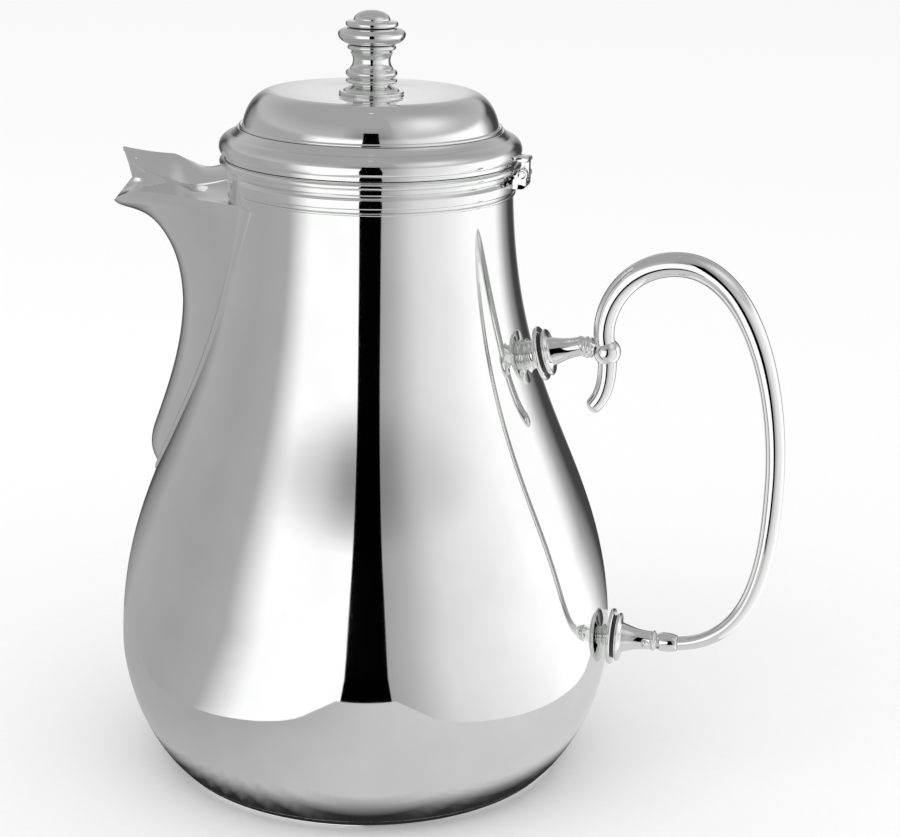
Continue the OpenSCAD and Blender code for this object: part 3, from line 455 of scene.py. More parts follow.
def mirror_polished_silver(colours):
    """Silver spun, planished and buffed with rouge: a clear mirror with a trace of haze from the mop."""
    return buffed_metal("mirror_polished_silver", colours.silver, colours.tarnish, 0.035, 18, 0.35, 0.00006)


def scoured_silver(colours):
    """Silver left from the spinning tool inside the pot: it blurs what it reflects."""
    return buffed_metal("scoured_silver", colours.tarnish, colours.tarnish, 0.2, 6, 0.5, 0.0012)


def turned_steel(colours):
    """Steel rod and nut left from the lathe: grey, with fine tool marks."""
    return buffed_metal("turned_steel", colours.steel, colours.steel, 0.3, 4, 0.3, 0.002)


def moulded_nylon(colours):
    """Insulating washers of moulded nylon: near black and dull, with a slight cloudiness."""
    material, tree = empty_material("moulded_nylon")
    place = node_with(tree, "ShaderNodeTexCoord").outputs["Object"]
    cloud = node_with(tree, "ShaderNodeTexNoise", {"Scale": 1 / (1.5 * MM), "Detail": 4.0}, {"Vector": place})
    pale = tuple(min(1.0, c * 1.5) for c in colours.washer[:3]) + (1.0,)
    skin = node_with(
        tree, "ShaderNodeBump", {"Strength": 1.0, "Distance": 0.01 * MM}, {"Height": cloud.outputs["Fac"]}
    )
    shader = node_with(
        tree,
        "ShaderNodeBsdfPrincipled",
        {"Roughness": 0.45, "IOR": 1.53},
        {
            "Base Color": ramp(tree, cloud.outputs["Fac"], 0.35, 0.65, colours.washer, pale),
            "Normal": skin.outputs["Normal"],
        },
    )
    node_with(tree, "ShaderNodeOutputMaterial", links={"Surface": shader.outputs["BSDF"]})
    return material


MATERIALS = {}


def finish_of(name):
    """The named material, made once."""
    if name not in MATERIALS:
        makers = {
            "silver": mirror_polished_silver,
            "inside": scoured_silver,
            "steel": turned_steel,
            "washer": moulded_nylon,
        }
        MATERIALS[name] = makers[name](bpy.context.scene.pot_colours)
    return MATERIALS[name]


# ---- Body curve, read from the frame ----


def body_curve():
    """Heights and radii of the body's outside, from the section of its CAD node."""
    section, _ = section_of("body_shell")
    foot, neck = section[:, 1].min(), section[:, 1].max()
    lows = section[section[:, 1] < foot + 1e-6]
    start = int(np.argmin(np.linalg.norm(section - lows[lows[:, 0].argmax()], axis=1)))
    ordered = np.roll(section, -start, axis=0)
    if ordered[1][1] < ordered[-1][1] or ordered[1][0] < ordered[0][0]:
        ordered = np.roll(ordered[::-1], 1, axis=0)
    outside = [ordered[0]]
    for place in ordered[1:]:
        outside.append(place)
        if place[1] > neck - 1e-6:
            break
    line = smooth_run(outside, 8)
    return line[:, 1], line[:, 0]


BODY_Z, BODY_R = body_curve()


def skin_r(z):
    """Outside radius of the body at a height, in metres."""
    return np.interp(z, BODY_Z, BODY_R)


# ---- Body ----


class POT_OT_body(bpy.types.Operator):
    """Spins the body shell with its rings, base and foot"""

    bl_idname = "coffee_pot.body"
    bl_label = "Body and rings"

    def execute(self, context):
        sizes = context.scene.pot_sizes
        steps, silver = sizes.spin_steps, finish_of("silver")
        cut_inlet(turned_piece("spun_body_shell", "body_shell", silver, "silver", POT, steps=steps, fine=4))
        for node in ("base_plate", "foot_ring", "rim_ring"):
            turned_piece(f"spun_{node}", node, silver, "silver", POT, steps=steps)
        for node in ("neck_wire", "neck_band"):
            part_ring(f"drawn_{node}", node, steps)
        return {"FINISHED"}


def cut_inlet(shell):
    """Opens the wall behind the spout, inside the strainer's edge."""
    low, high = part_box("strainer")
    lap, reach = 3 * MM, 12 * MM
    half_w = (high.y - low.y) / 2 - lap
    mid_z = (low.z + high.z) / 2
    half_h = (high.z - low.z) / 2 - lap - half_w
    angles = np.linspace(0, math.pi, 25)
    top = [(half_w * math.cos(a), mid_z + half_h + half_w * math.sin(a)) for a in angles]
    outline = top + [(-y, 2 * mid_z - z) for y, z in top]
    points = [(x, y, z) for x in (low.x - reach, high.x + reach) for y, z in outline]
    count = len(outline)
    faces = [[j, (j + 1) % count, count + (j + 1) % count, count + j] for j in range(count)]
    faces += [list(range(count))[::-1], [count + j for j in range(count)]]
    mesh = bpy.data.meshes.new("inlet_cutter")
    mesh.from_pydata(points, [], faces)
    cutter = bpy.data.objects.new("inlet_cutter", mesh)
    bpy.context.scene.collection.objects.link(cutter)
    cut = shell.modifiers.new("Inlet", "BOOLEAN")
    cut.object = cutter
    cut.operation = "DIFFERENCE"
    cut.solver = "EXACT"
    depsgraph = bpy.context.evaluated_depsgraph_get()
    result = bpy.data.meshes.new_from_object(shell.evaluated_get(depsgraph))
    shell.modifiers.clear()
    shell.data = result
    bpy.data.objects.remove(cutter)
    hold_edges(shell, degrees=35)


def part_ring(name, node, steps):
    """A ring that stops at each side of the spout, with the section of its CAD node."""
    sizes = bpy.context.scene.pot_sizes
    section, closed = section_of(node)
    line = smooth_run(soften(section, closed, sizes.edge_round), 3, closed)
    co = np.array([v.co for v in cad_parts[node].data.vertices], float)
    gap = math.pi - np.abs(np.arctan2(co[:, 1], co[:, 0])).max()
    angles = np.linspace(-math.pi + gap, math.pi - gap, steps)
    points = [(r * math.cos(a), r * math.sin(a), z) for a in angles for r, z in line]
    faces = grid_faces(steps, len(line), wrap_cols=True)
    count = len(line)
    faces += [list(range(count)), [(steps - 1) * count + j for j in range(count)][::-1]]
    piece = add_piece(name, points, faces, finish_of("silver"), "silver", POT, [node])
    tidy_mesh(piece)
    hold_edges(piece, degrees=50)


# ---- Spout ----

# Keel from toe to lip, as shares of the spout's reach and of its rise
KEEL = [
    (0, 0), (0.09, 0.029), (0.185, 0.064), (0.203, 0.15),
    (0.221, 0.322), (0.229, 0.486), (0.302, 0.655),
    (0.383, 0.808), (0.508, 0.937), (0.77, 0.968),
    (0.865, 0.981), (0.967, 0.981), (1, 1),
]  # fmt: skip
# Width of the root from toe to shoulder, as shares of the spout's width
ROOT_WIDTHS = (0.52, 0.78, 0.81, 1.03)
# Height over which the toe is rounded
TOE_ROUND = 8 * MM
# Share of the rise over which the root lifts from the keel's height to the shoulder
LIFT_SHARE = 0.13
# Share of the quarter turn of the hull at which the cover ends in the mouth
NOSE_END = 0.9
# Share of the keel at which the inside of the hull begins, above the solid toe
INNER_TOE = 0.055
# How much of the width a leaning side wall takes, in thicknesses
SIDE_LEAN = 1.3
# How much the hull's sections pull in, and how late they drop to the keel, at the lips
LIP_PULL = 0.24
LIP_DROP = 5
# Start and length of the crest's climb and of its sweep up to the lip, of the leaf's taper and of its
# tip, and of the stretch where the arch over the leaf flattens, all as shares of the cover's length
CREST_CLIMB = (0.277, 0.28)
CREST_SWEEP = (0.557, 0.443)
LEAF_TAPER = (0.28, 0.32)
LEAF_TIP = (0.86, 0.14)
ARCH_FADE = (0.4, 0.15)
# Share of the rise from the saddle to the upper lip that the climb takes
CLIMB_SHARE = 0.73
# The shelf from the body to the mouth, in millimetres: its place outside the shoulder and how far it
# runs, and its half width and depth below the neck as cubic curves
SHELF_OUT = -2.3
SHELF_RUN = 28.0
SHELF_HALF = (13.2, 11, 4.2, 6.5)
SHELF_DEPTH = (8.8, 9.8, 9.5, 8.0)
# Depth of the leaf's edge below the neck in millimetres, as a cubic curve that ends at the upper lip
LEAF_DEPTH = (6.6, 9.3, 10.6)
# Rows and steps of the meshes
HULL_ROWS, HULL_HALF = 90, 60
COVER_ROWS, SHELF_STEPS, LEAF_STEPS = 70, 20, 20
SEAM_STEPS = 80


class Spout:
    """Formulas of the spout's hull, cover and seam, from the sizes."""

    def __init__(self, sizes):
        self.toe, self.lip, self.shoulder = sizes.spout_toe, sizes.spout_lip, sizes.spout_shoulder
        self.reach, self.width, self.wall = sizes.spout_reach, sizes.spout_width, sizes.spout_wall
        self.bill_reach, self.bill_z = sizes.bill_reach, sizes.bill_height
        self.saddle_z = sizes.saddle_height

    def root_w(self, z):
        """Half-width of the spout on the body."""
        h = (z - self.toe) / (self.shoulder - self.toe)
        toe = 1 - min(1, (z + 0.4 * MM - self.toe) / TOE_ROUND)
        return self.width / 2 * float(cubic(ROOT_WIDTHS, h)) * math.sqrt(max(0, 1 - toe * toe))

    def hull(self, t, a, thin):
        """Point of the hull: t from the toe to the lips, a from the root round a quarter turn to the keel."""
        share_out, share_up = chain(KEEL, t)[0]
        keel_z = self.toe + (self.lip - self.toe) * share_up
        climb = (self.lip - self.toe) * LIFT_SHARE
        lift = max(0, (keel_z - self.lip + climb) / climb)
        root_z = keel_z + (self.shoulder - self.lip) * lift * lift
        w = self.root_w(root_z) - SIDE_LEAN * thin
        root = math.sqrt(skin_r(root_z) ** 2 - w * w)
        keel = skin_r(keel_z) + max(0, self.reach * share_out - thin)
        share = math.sin(a) ** 2
        side = max(0, math.cos(a)) ** (1 + LIP_PULL * lift * lift)
        return (
            -(root + (keel - root) * share),
            w * side,
            root_z + (keel_z - root_z) * share ** (1 + LIP_DROP * lift),
        )

    def hull_grid(self, rows, half, thin, first):
        """Rows of the hull from the toe up, each from one root round the keel to the other."""
        grid = np.zeros((rows, 2 * half + 1, 3))
        for i in range(rows):
            t = first + (1 - first) * i / (rows - 1)
            for k in range(-half, half + 1):
                x, w, z = self.hull(t, math.pi / 2 * (1 - abs(k) / half), thin)
                grid[i, k + half] = (x, math.copysign(w, k), z)
        return grid

    def crest_z(self, x):
        """Height of the crest at a share of the cover's length."""
        low, rise = self.saddle_z, (self.bill_z - self.saddle_z) * CLIMB_SHARE
        dip = max(0, 1 - x / CREST_CLIMB[0])
        end = max(0, along(x, CREST_SWEEP))
        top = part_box("rim_ring")[0].z - 0.4 * MM
        climb = rise * float(ease(along(x, CREST_CLIMB)))
        return low + (top - low) * dip * dip + climb + (self.bill_z - low - rise) * end * end

    def leaf_w(self, x):
        """Half-width of the leaf on the crest, which closes at the upper lip."""
        tip = max(0, along(x, LEAF_TIP))
        wide, slim, point = 8.8 * MM, 3.5 * MM, 0.4 * MM
        w = wide + (slim - wide) * float(ease(along(x, LEAF_TAPER)))
        return point + (w - point) * math.sqrt(max(0, 1 - tip * tip))

    def cover(self, share, k, shelf_steps, leaf_steps):
        """Point of the cover's outside: share of the way to the mouth, k from the shoulder to the crest."""
        a = math.pi / 2 * NOSE_END * share
        x = (math.sin(a) / math.sin(math.pi / 2 * NOSE_END)) ** 2
        neck_z = BODY_Z[-1]
        edge = skin_r(self.shoulder)
        shoulder = np.array(self.hull(1, a, 0))
        shelf = np.array([
            -(edge + (SHELF_OUT + SHELF_RUN * x) * MM),
            float(cubic(SHELF_HALF, x)) * MM,
            neck_z - float(cubic(SHELF_DEPTH, x)) * MM,
        ])
        leaf = np.array([
            -(edge - 1.1 * MM + (self.bill_reach + 0.5 * MM) * x),
            self.leaf_w(x),
            neck_z - float(cubic(LEAF_DEPTH + ((neck_z - self.bill_z) / MM + 0.6,), x)) * MM,
        ])
        if k <= shelf_steps:
            u = k / shelf_steps
            rounded = shoulder * (1 - u) * (1 - 2 * u) + shelf * 4 * u * (1 - u) + leaf * u * (2 * u - 1)
            near, far, v = (shoulder, shelf, 2 * u) if u < 0.5 else (shelf, leaf, 2 * u - 1)
            p = rounded + (near + (far - near) * v - rounded) * x**4
        else:
            v = (k - shelf_steps) / leaf_steps
            crest = np.array([-(edge + self.bill_reach * x), 0, self.crest_z(x)])
            blend = float(ease(along(x, ARCH_FADE)))
            arch = math.sin(math.pi / 2 * v) * (1 - blend) + v * blend
            p = leaf + (crest - leaf) * np.array([v, v, arch])
        return on_body(p) if share == 0 else p

    def cover_grids(self, rows, shelf_steps, leaf_steps):
        """Outside and inside of the cover, each row from one shoulder over the crest to the other."""
        half = shelf_steps + leaf_steps
        outer = np.zeros((rows, 2 * half + 1, 3))
        inner = outer.copy()
        for i in range(rows):
            share = i / (rows - 1)
            line = [self.cover(share, k, shelf_steps, leaf_steps) for k in range(half + 1)]
            lip = np.array(self.hull(1, math.pi / 2 * NOSE_END * share, self.wall))
            shoulder, height = line[0], line[half][2] - line[0][2]
            for k, p in enumerate(line):
                q = np.array([
                    p[0] + (lip[0] - shoulder[0]) * (1 - k / half),
                    p[1] * lip[1] / shoulder[1],
                    lip[2] + (p[2] - shoulder[2]) * (height - self.wall) / height,
                ])
                q = on_body(q) if share == 0 else q
                for grid, place in ((outer, p), (inner, q)):
                    grid[i, k] = place * (1, -1, 1)
                    grid[i, 2 * half - k] = place
        return outer, inner

    def seam_point(self, t, out, high):
        """Point on the body, moved along its surface by a distance square to the spout's root line."""
        z = self.toe + (self.shoulder - self.toe) * t * t
        step = 0.5 * MM
        way = np.array([self.root_w(z + step) - self.root_w(z), step])
        way /= np.linalg.norm(way)
        w = self.root_w(z) + out * way[1]
        z -= out * way[0]
        r = skin_r(z) + high
        return np.array([-math.sqrt(r * r - w * w), w, z])


def on_body(p):
    """The same side and height, moved onto the outside of the body."""
    return np.array([-math.sqrt(skin_r(p[2]) ** 2 - p[1] ** 2), p[1], p[2]])


class POT_OT_spout(bpy.types.Operator):
    """Raises the spout's hull and cover, its seam and the strainer behind it"""

    bl_idname = "coffee_pot.spout"
    bl_label = "Spout"

    def execute(self, context):
        sizes = context.scene.pot_sizes
        form = Spout(sizes)
        silver = finish_of("silver")
        hull_sheet = sheet_mesh(
            form.hull_grid(HULL_ROWS, HULL_HALF, 0, 0),
            form.hull_grid(HULL_ROWS, HULL_HALF, form.wall, INNER_TOE),
        )
        hull = add_piece("raised_spout", *hull_sheet, silver, "silver", POT, ["spout"])
        cover_sheet = sheet_mesh(*form.cover_grids(COVER_ROWS, SHELF_STEPS, LEAF_STEPS))
        cover = add_piece("raised_spout_cover", *cover_sheet, silver, "silver", POT, ["spout_cover"])
        rows = []
        for out, high in seam_section(sizes):
            # The seam is half as wide at the toe
            shares = [i / SEAM_STEPS for i in range(SEAM_STEPS + 1)]
            side = [form.seam_point(t, out * (0.5 + 0.5 * t), high) for t in shares]
            rows.append([p * (1, -1, 1) for p in side[::-1]] + side)
        grid = np.array(rows)
        count, cols = grid.shape[:2]
        faces = grid_faces(count, cols, wrap_rows=True)
        faces += [[i * cols for i in range(count)], [i * cols + cols - 1 for i in range(count)][::-1]]
        seam = add_piece("soldered_seam", grid.reshape(-1, 3), faces, silver, "silver", POT, ["spout_seam"])
        for piece in (hull, cover, seam):
            tidy_mesh(piece)
            hold_edges(piece, degrees=32)
        dressed_copy("pierced_strainer", "strainer", finish_of("inside"), POT, bevel=0)
        return {"FINISHED"}


def seam_section(sizes):
    """Section of the seam as pairs of distance out from the root and height above the body."""
    shares = ((0, 0), (0, 0.9), (0.08, 1), (0.6, 1), (0.85, 0.8), (0.97, 0.4), (1, 0))
    return [(w * sizes.seam_width, t * sizes.seam_thickness) for w, t in shares]


# ---- Lid and finial ----


class POT_OT_lid(bpy.types.Operator):
    """Spins the lid with its bead and bezel"""

    bl_idname = "coffee_pot.lid"
    bl_label = "Lid"

    def execute(self, context):
        steps = context.scene.pot_sizes.spin_steps
        for node in ("lid_shell", "lid_bead", "lid_bezel"):
            turned_piece(f"spun_{node}", node, finish_of("silver"), "silver", LID, steps=steps)
        return {"FINISHED"}


class POT_OT_finial(bpy.types.Operator):
    """Turns the finial and the fastener that holds it"""

    bl_idname = "coffee_pot.finial"
    bl_label = "Finial"

    def execute(self, context):
        for node in ("finial_base", "finial_stem", "finial_knob"):
            turned_piece(f"turned_{node}", node, finish_of("silver"), "silver", LID)
        for node in ("finial_rod", "finial_washer", "finial_nut"):
            dressed_copy(f"turned_{node}", node, finish_of("steel"), LID)
        return {"FINISHED"}


# ---- Handle ----

# In the XZ plane, in millimetres: the ball, the tail's curve measured from it, and where the rod is
# straight up at the side and level at the crown
BALL_AT = (62.44, 115.13)
TAIL_STEPS = ((-4, -15.3), (-0.6, -12.4), (0.7, -7.96), (0, 0))
GRIP_Z = 85
CROWN_X = 80
# How far the rod's control points stand from the ball, the crown, the side and the end, in millimetres
BALL_ARM = (-3.7, 8.4)
CROWN_ARMS = (14.7, 17.4)
GRIP_ARMS = (25.4, 22.6)
END_ARM = (19.3, 2.3)
# Share of the tail over which its tip is rounded
TIP_SHARE = 0.12
TUBE_SIDES = 48
BALL_RINGS, BALL_SIDES = 40, 64


def handle_line(sizes):
    """Middle line of the handle: control points of the tail and of the rod, in the XZ plane in metres."""
    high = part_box("handle")[1]
    side_x = high.x - sizes.rod_at_side
    crown_z = high.z - sizes.rod_at_crown
    ferrule_low, ferrule_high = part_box("lower_ferrule")
    end = np.array([ferrule_high.x, (ferrule_low.z + ferrule_high.z) / 2])
    ball = np.array(BALL_AT) * MM
    tail = [ball + np.array(p) * MM for p in TAIL_STEPS]
    grip_z, crown_x = GRIP_Z * MM, CROWN_X * MM
    rod = [
        ball,
        ball + np.array(BALL_ARM) * MM,
        np.array([crown_x - CROWN_ARMS[0] * MM, crown_z]),
        np.array([crown_x, crown_z]),
        np.array([crown_x + CROWN_ARMS[1] * MM, crown_z]),
        np.array([side_x, grip_z + GRIP_ARMS[0] * MM]),
        np.array([side_x, grip_z]),
        np.array([side_x, grip_z - GRIP_ARMS[1] * MM]),
        end + np.array(END_ARM) * MM,
        end,
    ]
    return ball, tail, rod


def closed_tube_faces(rows, sides, first):
    """Faces round a tube of points, with a cap at each end."""
    last = first + (rows - 1) * sides
    faces = grid_faces(rows, sides, wrap_cols=True, first=first)
    return faces + [list(range(first, first + sides)), list(range(last, last + sides))[::-1]]


def tube(middle, radii, sides, first):
    """Points and faces of a round tube along a line in the XZ plane, closed at both ends."""
    way = np.gradient(middle, axis=0)
    way /= np.linalg.norm(way, axis=1)[:, None]
    angles = np.linspace(0, 2 * math.pi, sides, endpoint=False)
    points = []
    for (x, z), (dx, dz), r in zip(middle, way, radii):
        points += [(x - dz * r * math.cos(a), r * math.sin(a), z + dx * r * math.cos(a)) for a in angles]
    return points, closed_tube_faces(len(middle), sides, first)


def globe(centre, radius, rings, sides, first):
    """Points and faces of a ball."""
    points = []
    for i in range(rings + 1):
        a = math.pi * (0.0005 + 0.999 * i / rings)
        out, up = radius * math.sin(a), radius * math.cos(a)
        for j in range(sides):
            b = 2 * math.pi * j / sides
            points.append((centre[0] + out * math.cos(b), out * math.sin(b), centre[1] + up))
    return points, closed_tube_faces(rings + 1, sides, first)


class POT_OT_handle(bpy.types.Operator):
    """Sweeps the handle: tail, ball and rod in one casting"""

    bl_idname = "coffee_pot.handle"
    bl_label = "Handle"

    def execute(self, context):
        sizes = context.scene.pot_sizes
        ball, tail, rod = handle_line(sizes)
        # The steps are closer at the tail's tip and where the rod leaves the ball
        tip_steps = np.linspace(0, 1, 24) ** 2 * TIP_SHARE
        t_tail = np.concatenate([tip_steps, np.linspace(TIP_SHARE + 0.01, 1, 60)])
        t_rod = np.concatenate([np.linspace(0, 0.1, 50) ** 1.3 / 0.1**0.3, np.linspace(0.103, 1, 260)])
        tip = np.maximum(0, 1 - t_tail / TIP_SHARE)
        tail_r = sizes.tail_radius * (0.84 + 0.16 * t_tail) * np.sqrt(np.maximum(0.0004, 1 - tip * tip))
        stops = np.array([sizes.rod_at_ball, sizes.rod_at_crown, sizes.rod_at_side, sizes.rod_at_end])
        part = np.minimum(2, (t_rod * 3).astype(int))
        rod_r = stops[part] + (stops[part + 1] - stops[part]) * ease(t_rod * 3 - part)
        points, faces = tube(cubic(tail, t_tail), tail_r, TUBE_SIDES, 0)
        for shape, values in (
            (tube, (chain(rod, t_rod), rod_r, TUBE_SIDES)),
            (globe, (ball, sizes.ball_radius, BALL_RINGS, BALL_SIDES)),
        ):
            more_points, more_faces = shape(*values, len(points))
            points += more_points
            faces += more_faces
        piece = add_piece("cast_handle", points, faces, finish_of("silver"), "silver", POT, ["handle"])
        tidy_mesh(piece)
        return {"FINISHED"}


# ---- Sockets ----


class POT_OT_sockets(bpy.types.Operator):
    """Turns the pieces that hold the two ends of the handle"""

    bl_idname = "coffee_pot.sockets"
    bl_label = "Handle sockets"

    def execute(self, context):
        upper = ("upper_foot", "upper_trumpet", "upper_collar")
        for node in upper + ("lower_foot", "lower_trumpet", "lower_ferrule"):
            dressed_copy(f"turned_{node}", node, finish_of("silver"), POT, bevel=0)
        dressed_copy("riveted_lower_rivet", "lower_rivet", finish_of("silver"), POT, bevel=0)
        for node in ("upper_washer", "lower_washer"):
            dressed_copy(f"moulded_{node}", node, finish_of("washer"), POT)
        return {"FINISHED"}


# ---- Hinge ----


class POT_OT_hinge(bpy.types.Operator):
    """Files up the hinge: the fixed leaf, the pin and the lid's leaf"""

    bl_idname = "coffee_pot.hinge"
    bl_label = "Hinge"

    def execute(self, context):
        for node, body in (("hinge_bracket", POT), ("hinge_pin", POT), ("lid_leaf", LID)):
            dressed_copy(f"filed_{node}", node, finish_of("silver"), body, bevel=0.15 * MM)
        return {"FINISHED"}


# ---- Stage ----

# The camera: degrees round the pot, millimetres from its middle and above the table, degrees that it is
# turned, tipped down and rolled, and its lens in millimetres
VIEW_AZIMUTH = 16.0
VIEW_DISTANCE = 530.0
VIEW_HEIGHT = 250.6
VIEW_YAW = 2.31
VIEW_PITCH = 16.64
VIEW_ROLL = 1.17
LENS = 84.3


def place_camera():
    """Camera a little above the lid, turned so that the handle comes slightly forward."""
    data = bpy.data.cameras.new("Camera")
    data.lens = LENS
    data.sensor_width = 36
    data.clip_start = 0.01
    camera = bpy.data.objects.new("Camera", data)
    bpy.context.scene.collection.objects.link(camera)
    turn, yaw, pitch, roll = (math.radians(v) for v in (VIEW_AZIMUTH, VIEW_YAW, VIEW_PITCH, VIEW_ROLL))
    spin_z = Matrix.Rotation(turn, 3, "Z")
    forward = Vector((math.sin(yaw) * math.cos(pitch), math.cos(yaw) * math.cos(pitch), -math.sin(pitch)))
    right = Vector((math.cos(yaw), -math.sin(yaw), 0))
    up = right.cross(forward)
    right, up = (
        math.cos(roll) * right + math.sin(roll) * up,
        -math.sin(roll) * right + math.cos(roll) * up,
    )
    axes = Matrix((spin_z @ right, spin_z @ up, spin_z @ -forward)).transposed()
    place = spin_z @ Vector((0, -VIEW_DISTANCE, VIEW_HEIGHT)) * MM
    camera.matrix_world = Matrix.Translation(place) @ axes.to_4x4()
    bpy.context.scene.camera = camera


# What the polished metal reflects. Each pair is degrees from the camera's side and brightness.
# Left soft box: bright near the camera, grey cloth further round, a dark gap behind the pot
LEFT_LIGHT = (
    (8.5, 1.15), (46, 1.15), (64, 0.44), (90, 0.4), (128, 0.44),
    (144, 0.26), (154, 0.05), (166, 0.3), (180, 0.9),
)  # fmt: skip
# Right soft box: it fades towards the camera and is bright at the side
RIGHT_LIGHT = (
    (8.5, 0.4), (18, 0.5), (34, 0.78), (58, 0.92), (84, 1.15), (114, 1.15),
    (128, 0.4), (141, 0.06), (156, 0.06), (168, 0.45), (180, 0.9),
)  # fmt: skip
# Height above the table, in degrees, at which the soft boxes end, and over how many degrees they fade
BOX_TOP = 28.5
BOX_FADE = 8
# Grey of the ceiling, and degrees above the boxes at which the cloth has reached it
CEILING = 0.4
CEILING_FADE = 25
# The cloth just above the boxes: its brightness over the gap, how much brighter it is beside the gap,
# and the start and length of that change in degrees
OVER_GAP = 0.24
BESIDE_GAP = 0.3
GAP_SIDE = (9, 22)
# A small lamp high on the right: its brightness, its middle and spread in degrees up and round, and the
# angle round at which it is cut off
SPARK = 0.5
SPARK_RISE = (52, 14)
SPARK_TURN = (60, 30)
SPARK_EDGE = 20
# Half width of the black gap between the boxes, in degrees, low down and at the top of the boxes, and
# the height where the gap ends
GAP_LOW = 8.6
GAP_TOP = 7.0
GAP_END = 42
# Painted reflection of the table under the pot, a grey sheet narrower towards the camera: front and back
# edges, and half widths there
TABLE_REFLECTION_FRONT = -188 * MM
TABLE_REFLECTION_BACK = 95 * MM
TABLE_REFLECTION_FRONT_HALF = 37 * MM
TABLE_REFLECTION_BACK_HALF = 160 * MM
# Painted brightness of the table's reflection, lighter to the right, at millimetres to the right of the pot's
# middle
TABLE_REFLECTION_LIGHT = ((-85, 0.43), (-50, 0.5), (0, 0.62), (85, 0.7))
# Painted shadow round the foot: share of that light under the pot, and the start and length of the stretch
# where it comes back, in millimetres from the middle
FOOT_SHADE = 0.04
FOOT_EDGE = (55, 8)
TENT_RADIUS = 750 * MM
# Heights of the tent's rows in degrees, and reaches of its skirt along the table in metres
TENT_RISES = (0, 4, 8, 12, 16, 20, 23, 25, 27, 29, 31, 34, 38, 43, 48, 54, 60, 68, 76, 84, 89)
SKIRT_REACHES = (0.05, 0.1, 0.2, 0.35, 0.5, 0.65, 0.749)
# The black gap starts on the painted table reflection and ends just inside the tent
GAP_START = 170 * MM
GAP_RADIUS = 745 * MM
# Heights of the skirt, the gap and the painted table reflection above the table, each over the last
SKIRT_Z, GAP_Z, TABLE_REFLECTION_Z = 0.3 * MM, 0.5 * MM, 0.7 * MM
# Half width of the table in metres, wide enough that its far edge is out of sight
FLOOR_HALF = 30.0
# Two soft lamps that face the pot: place in metres and power in watts, and the length of their sides
KEY_LAMP = ((-0.7, -0.9, 1.1), 3)
FILL_LAMP = ((0.9, -0.6, 0.9), 1)
LAMP_SIDE = 0.9


def table_value(table, x):
    """Straight-line reading of a short table of pairs."""
    return float(np.interp(x, [p[0] for p in table], [p[1] for p in table]))


def box_light(turn, rise):
    """Brightness of the tent round the pot: turn is degrees from the camera's side, rise is degrees up."""
    side = table_value(LEFT_LIGHT if turn < 0 else RIGHT_LIGHT, abs(turn))
    above = ease((rise - BOX_TOP + BOX_FADE / 2) / BOX_FADE)
    low = OVER_GAP + BESIDE_GAP * ease(along(abs(turn), GAP_SIDE))
    over = low + (CEILING - low) * min(1.0, max(0.0, (rise - BOX_TOP) / CEILING_FADE))
    if turn > SPARK_EDGE:
        over += SPARK * math.exp(-(along(rise, SPARK_RISE) ** 2)) * math.exp(-(along(turn, SPARK_TURN) ** 2))
    return side * (1 - above) + over * above


def table_reflection_light(x, y):
    """Painted brightness of the table's reflection: a painted shadow where the pot's foot shades it, lighter
    to the right.
    """
    away = math.hypot(x, y) / MM
    # Painted shadow of the foot, dark close to it and fading out further away
    shade = FOOT_SHADE + (1 - FOOT_SHADE) * ease(along(away, FOOT_EDGE))
    return shade * table_value(TABLE_REFLECTION_LIGHT, x / MM)


def glow(name):
    """Matt cloth lit from behind, as bright at each place as its own colour layer says."""
    material, tree = empty_material(name)
    layer = node_with(tree, "ShaderNodeAttribute", {"attribute_name": "light"})
    light = node_with(tree, "ShaderNodeEmission", {"Strength": 1.0}, {"Color": layer.outputs["Color"]})
    node_with(tree, "ShaderNodeOutputMaterial", links={"Surface": light.outputs["Emission"]})
    return material


def screen(name, rows, lights, material):
    """A sheet through rows of points seen only in reflections, with the brightness given at each point."""
    mesh = bpy.data.meshes.new(name)
    turned = Matrix.Rotation(math.radians(VIEW_AZIMUTH), 3, "Z")
    points = [turned @ Vector(p) for row in rows for p in row]
    mesh.from_pydata(points, [], grid_faces(len(rows), len(rows[0])))
    layer = mesh.color_attributes.new("light", "FLOAT_COLOR", "POINT")
    layer.data.foreach_set("color", [v for row in lights for light in row for v in (light,) * 3 + (1.0,)])
    mesh.materials.append(material)
    mesh.shade_smooth()
    panel = bpy.data.objects.new(name, mesh)
    bpy.context.scene.collection.objects.link(panel)
    panel.visible_camera = False
    panel.visible_shadow = False
    panel.visible_diffuse = False


def at_turn(turn, radius, z):
    """Point at an angle from the camera's side, before the stage is turned to face the camera."""
    a = math.radians(turn)
    return (radius * math.sin(a), -radius * math.cos(a), z)


def on_dome(turn, rise, radius, lift=0.0):
    """Point of a dome round the pot, at angles from the camera's side and up from the table."""
    up = math.radians(rise)
    return at_turn(turn, radius * math.cos(up), lift + radius * math.sin(up))


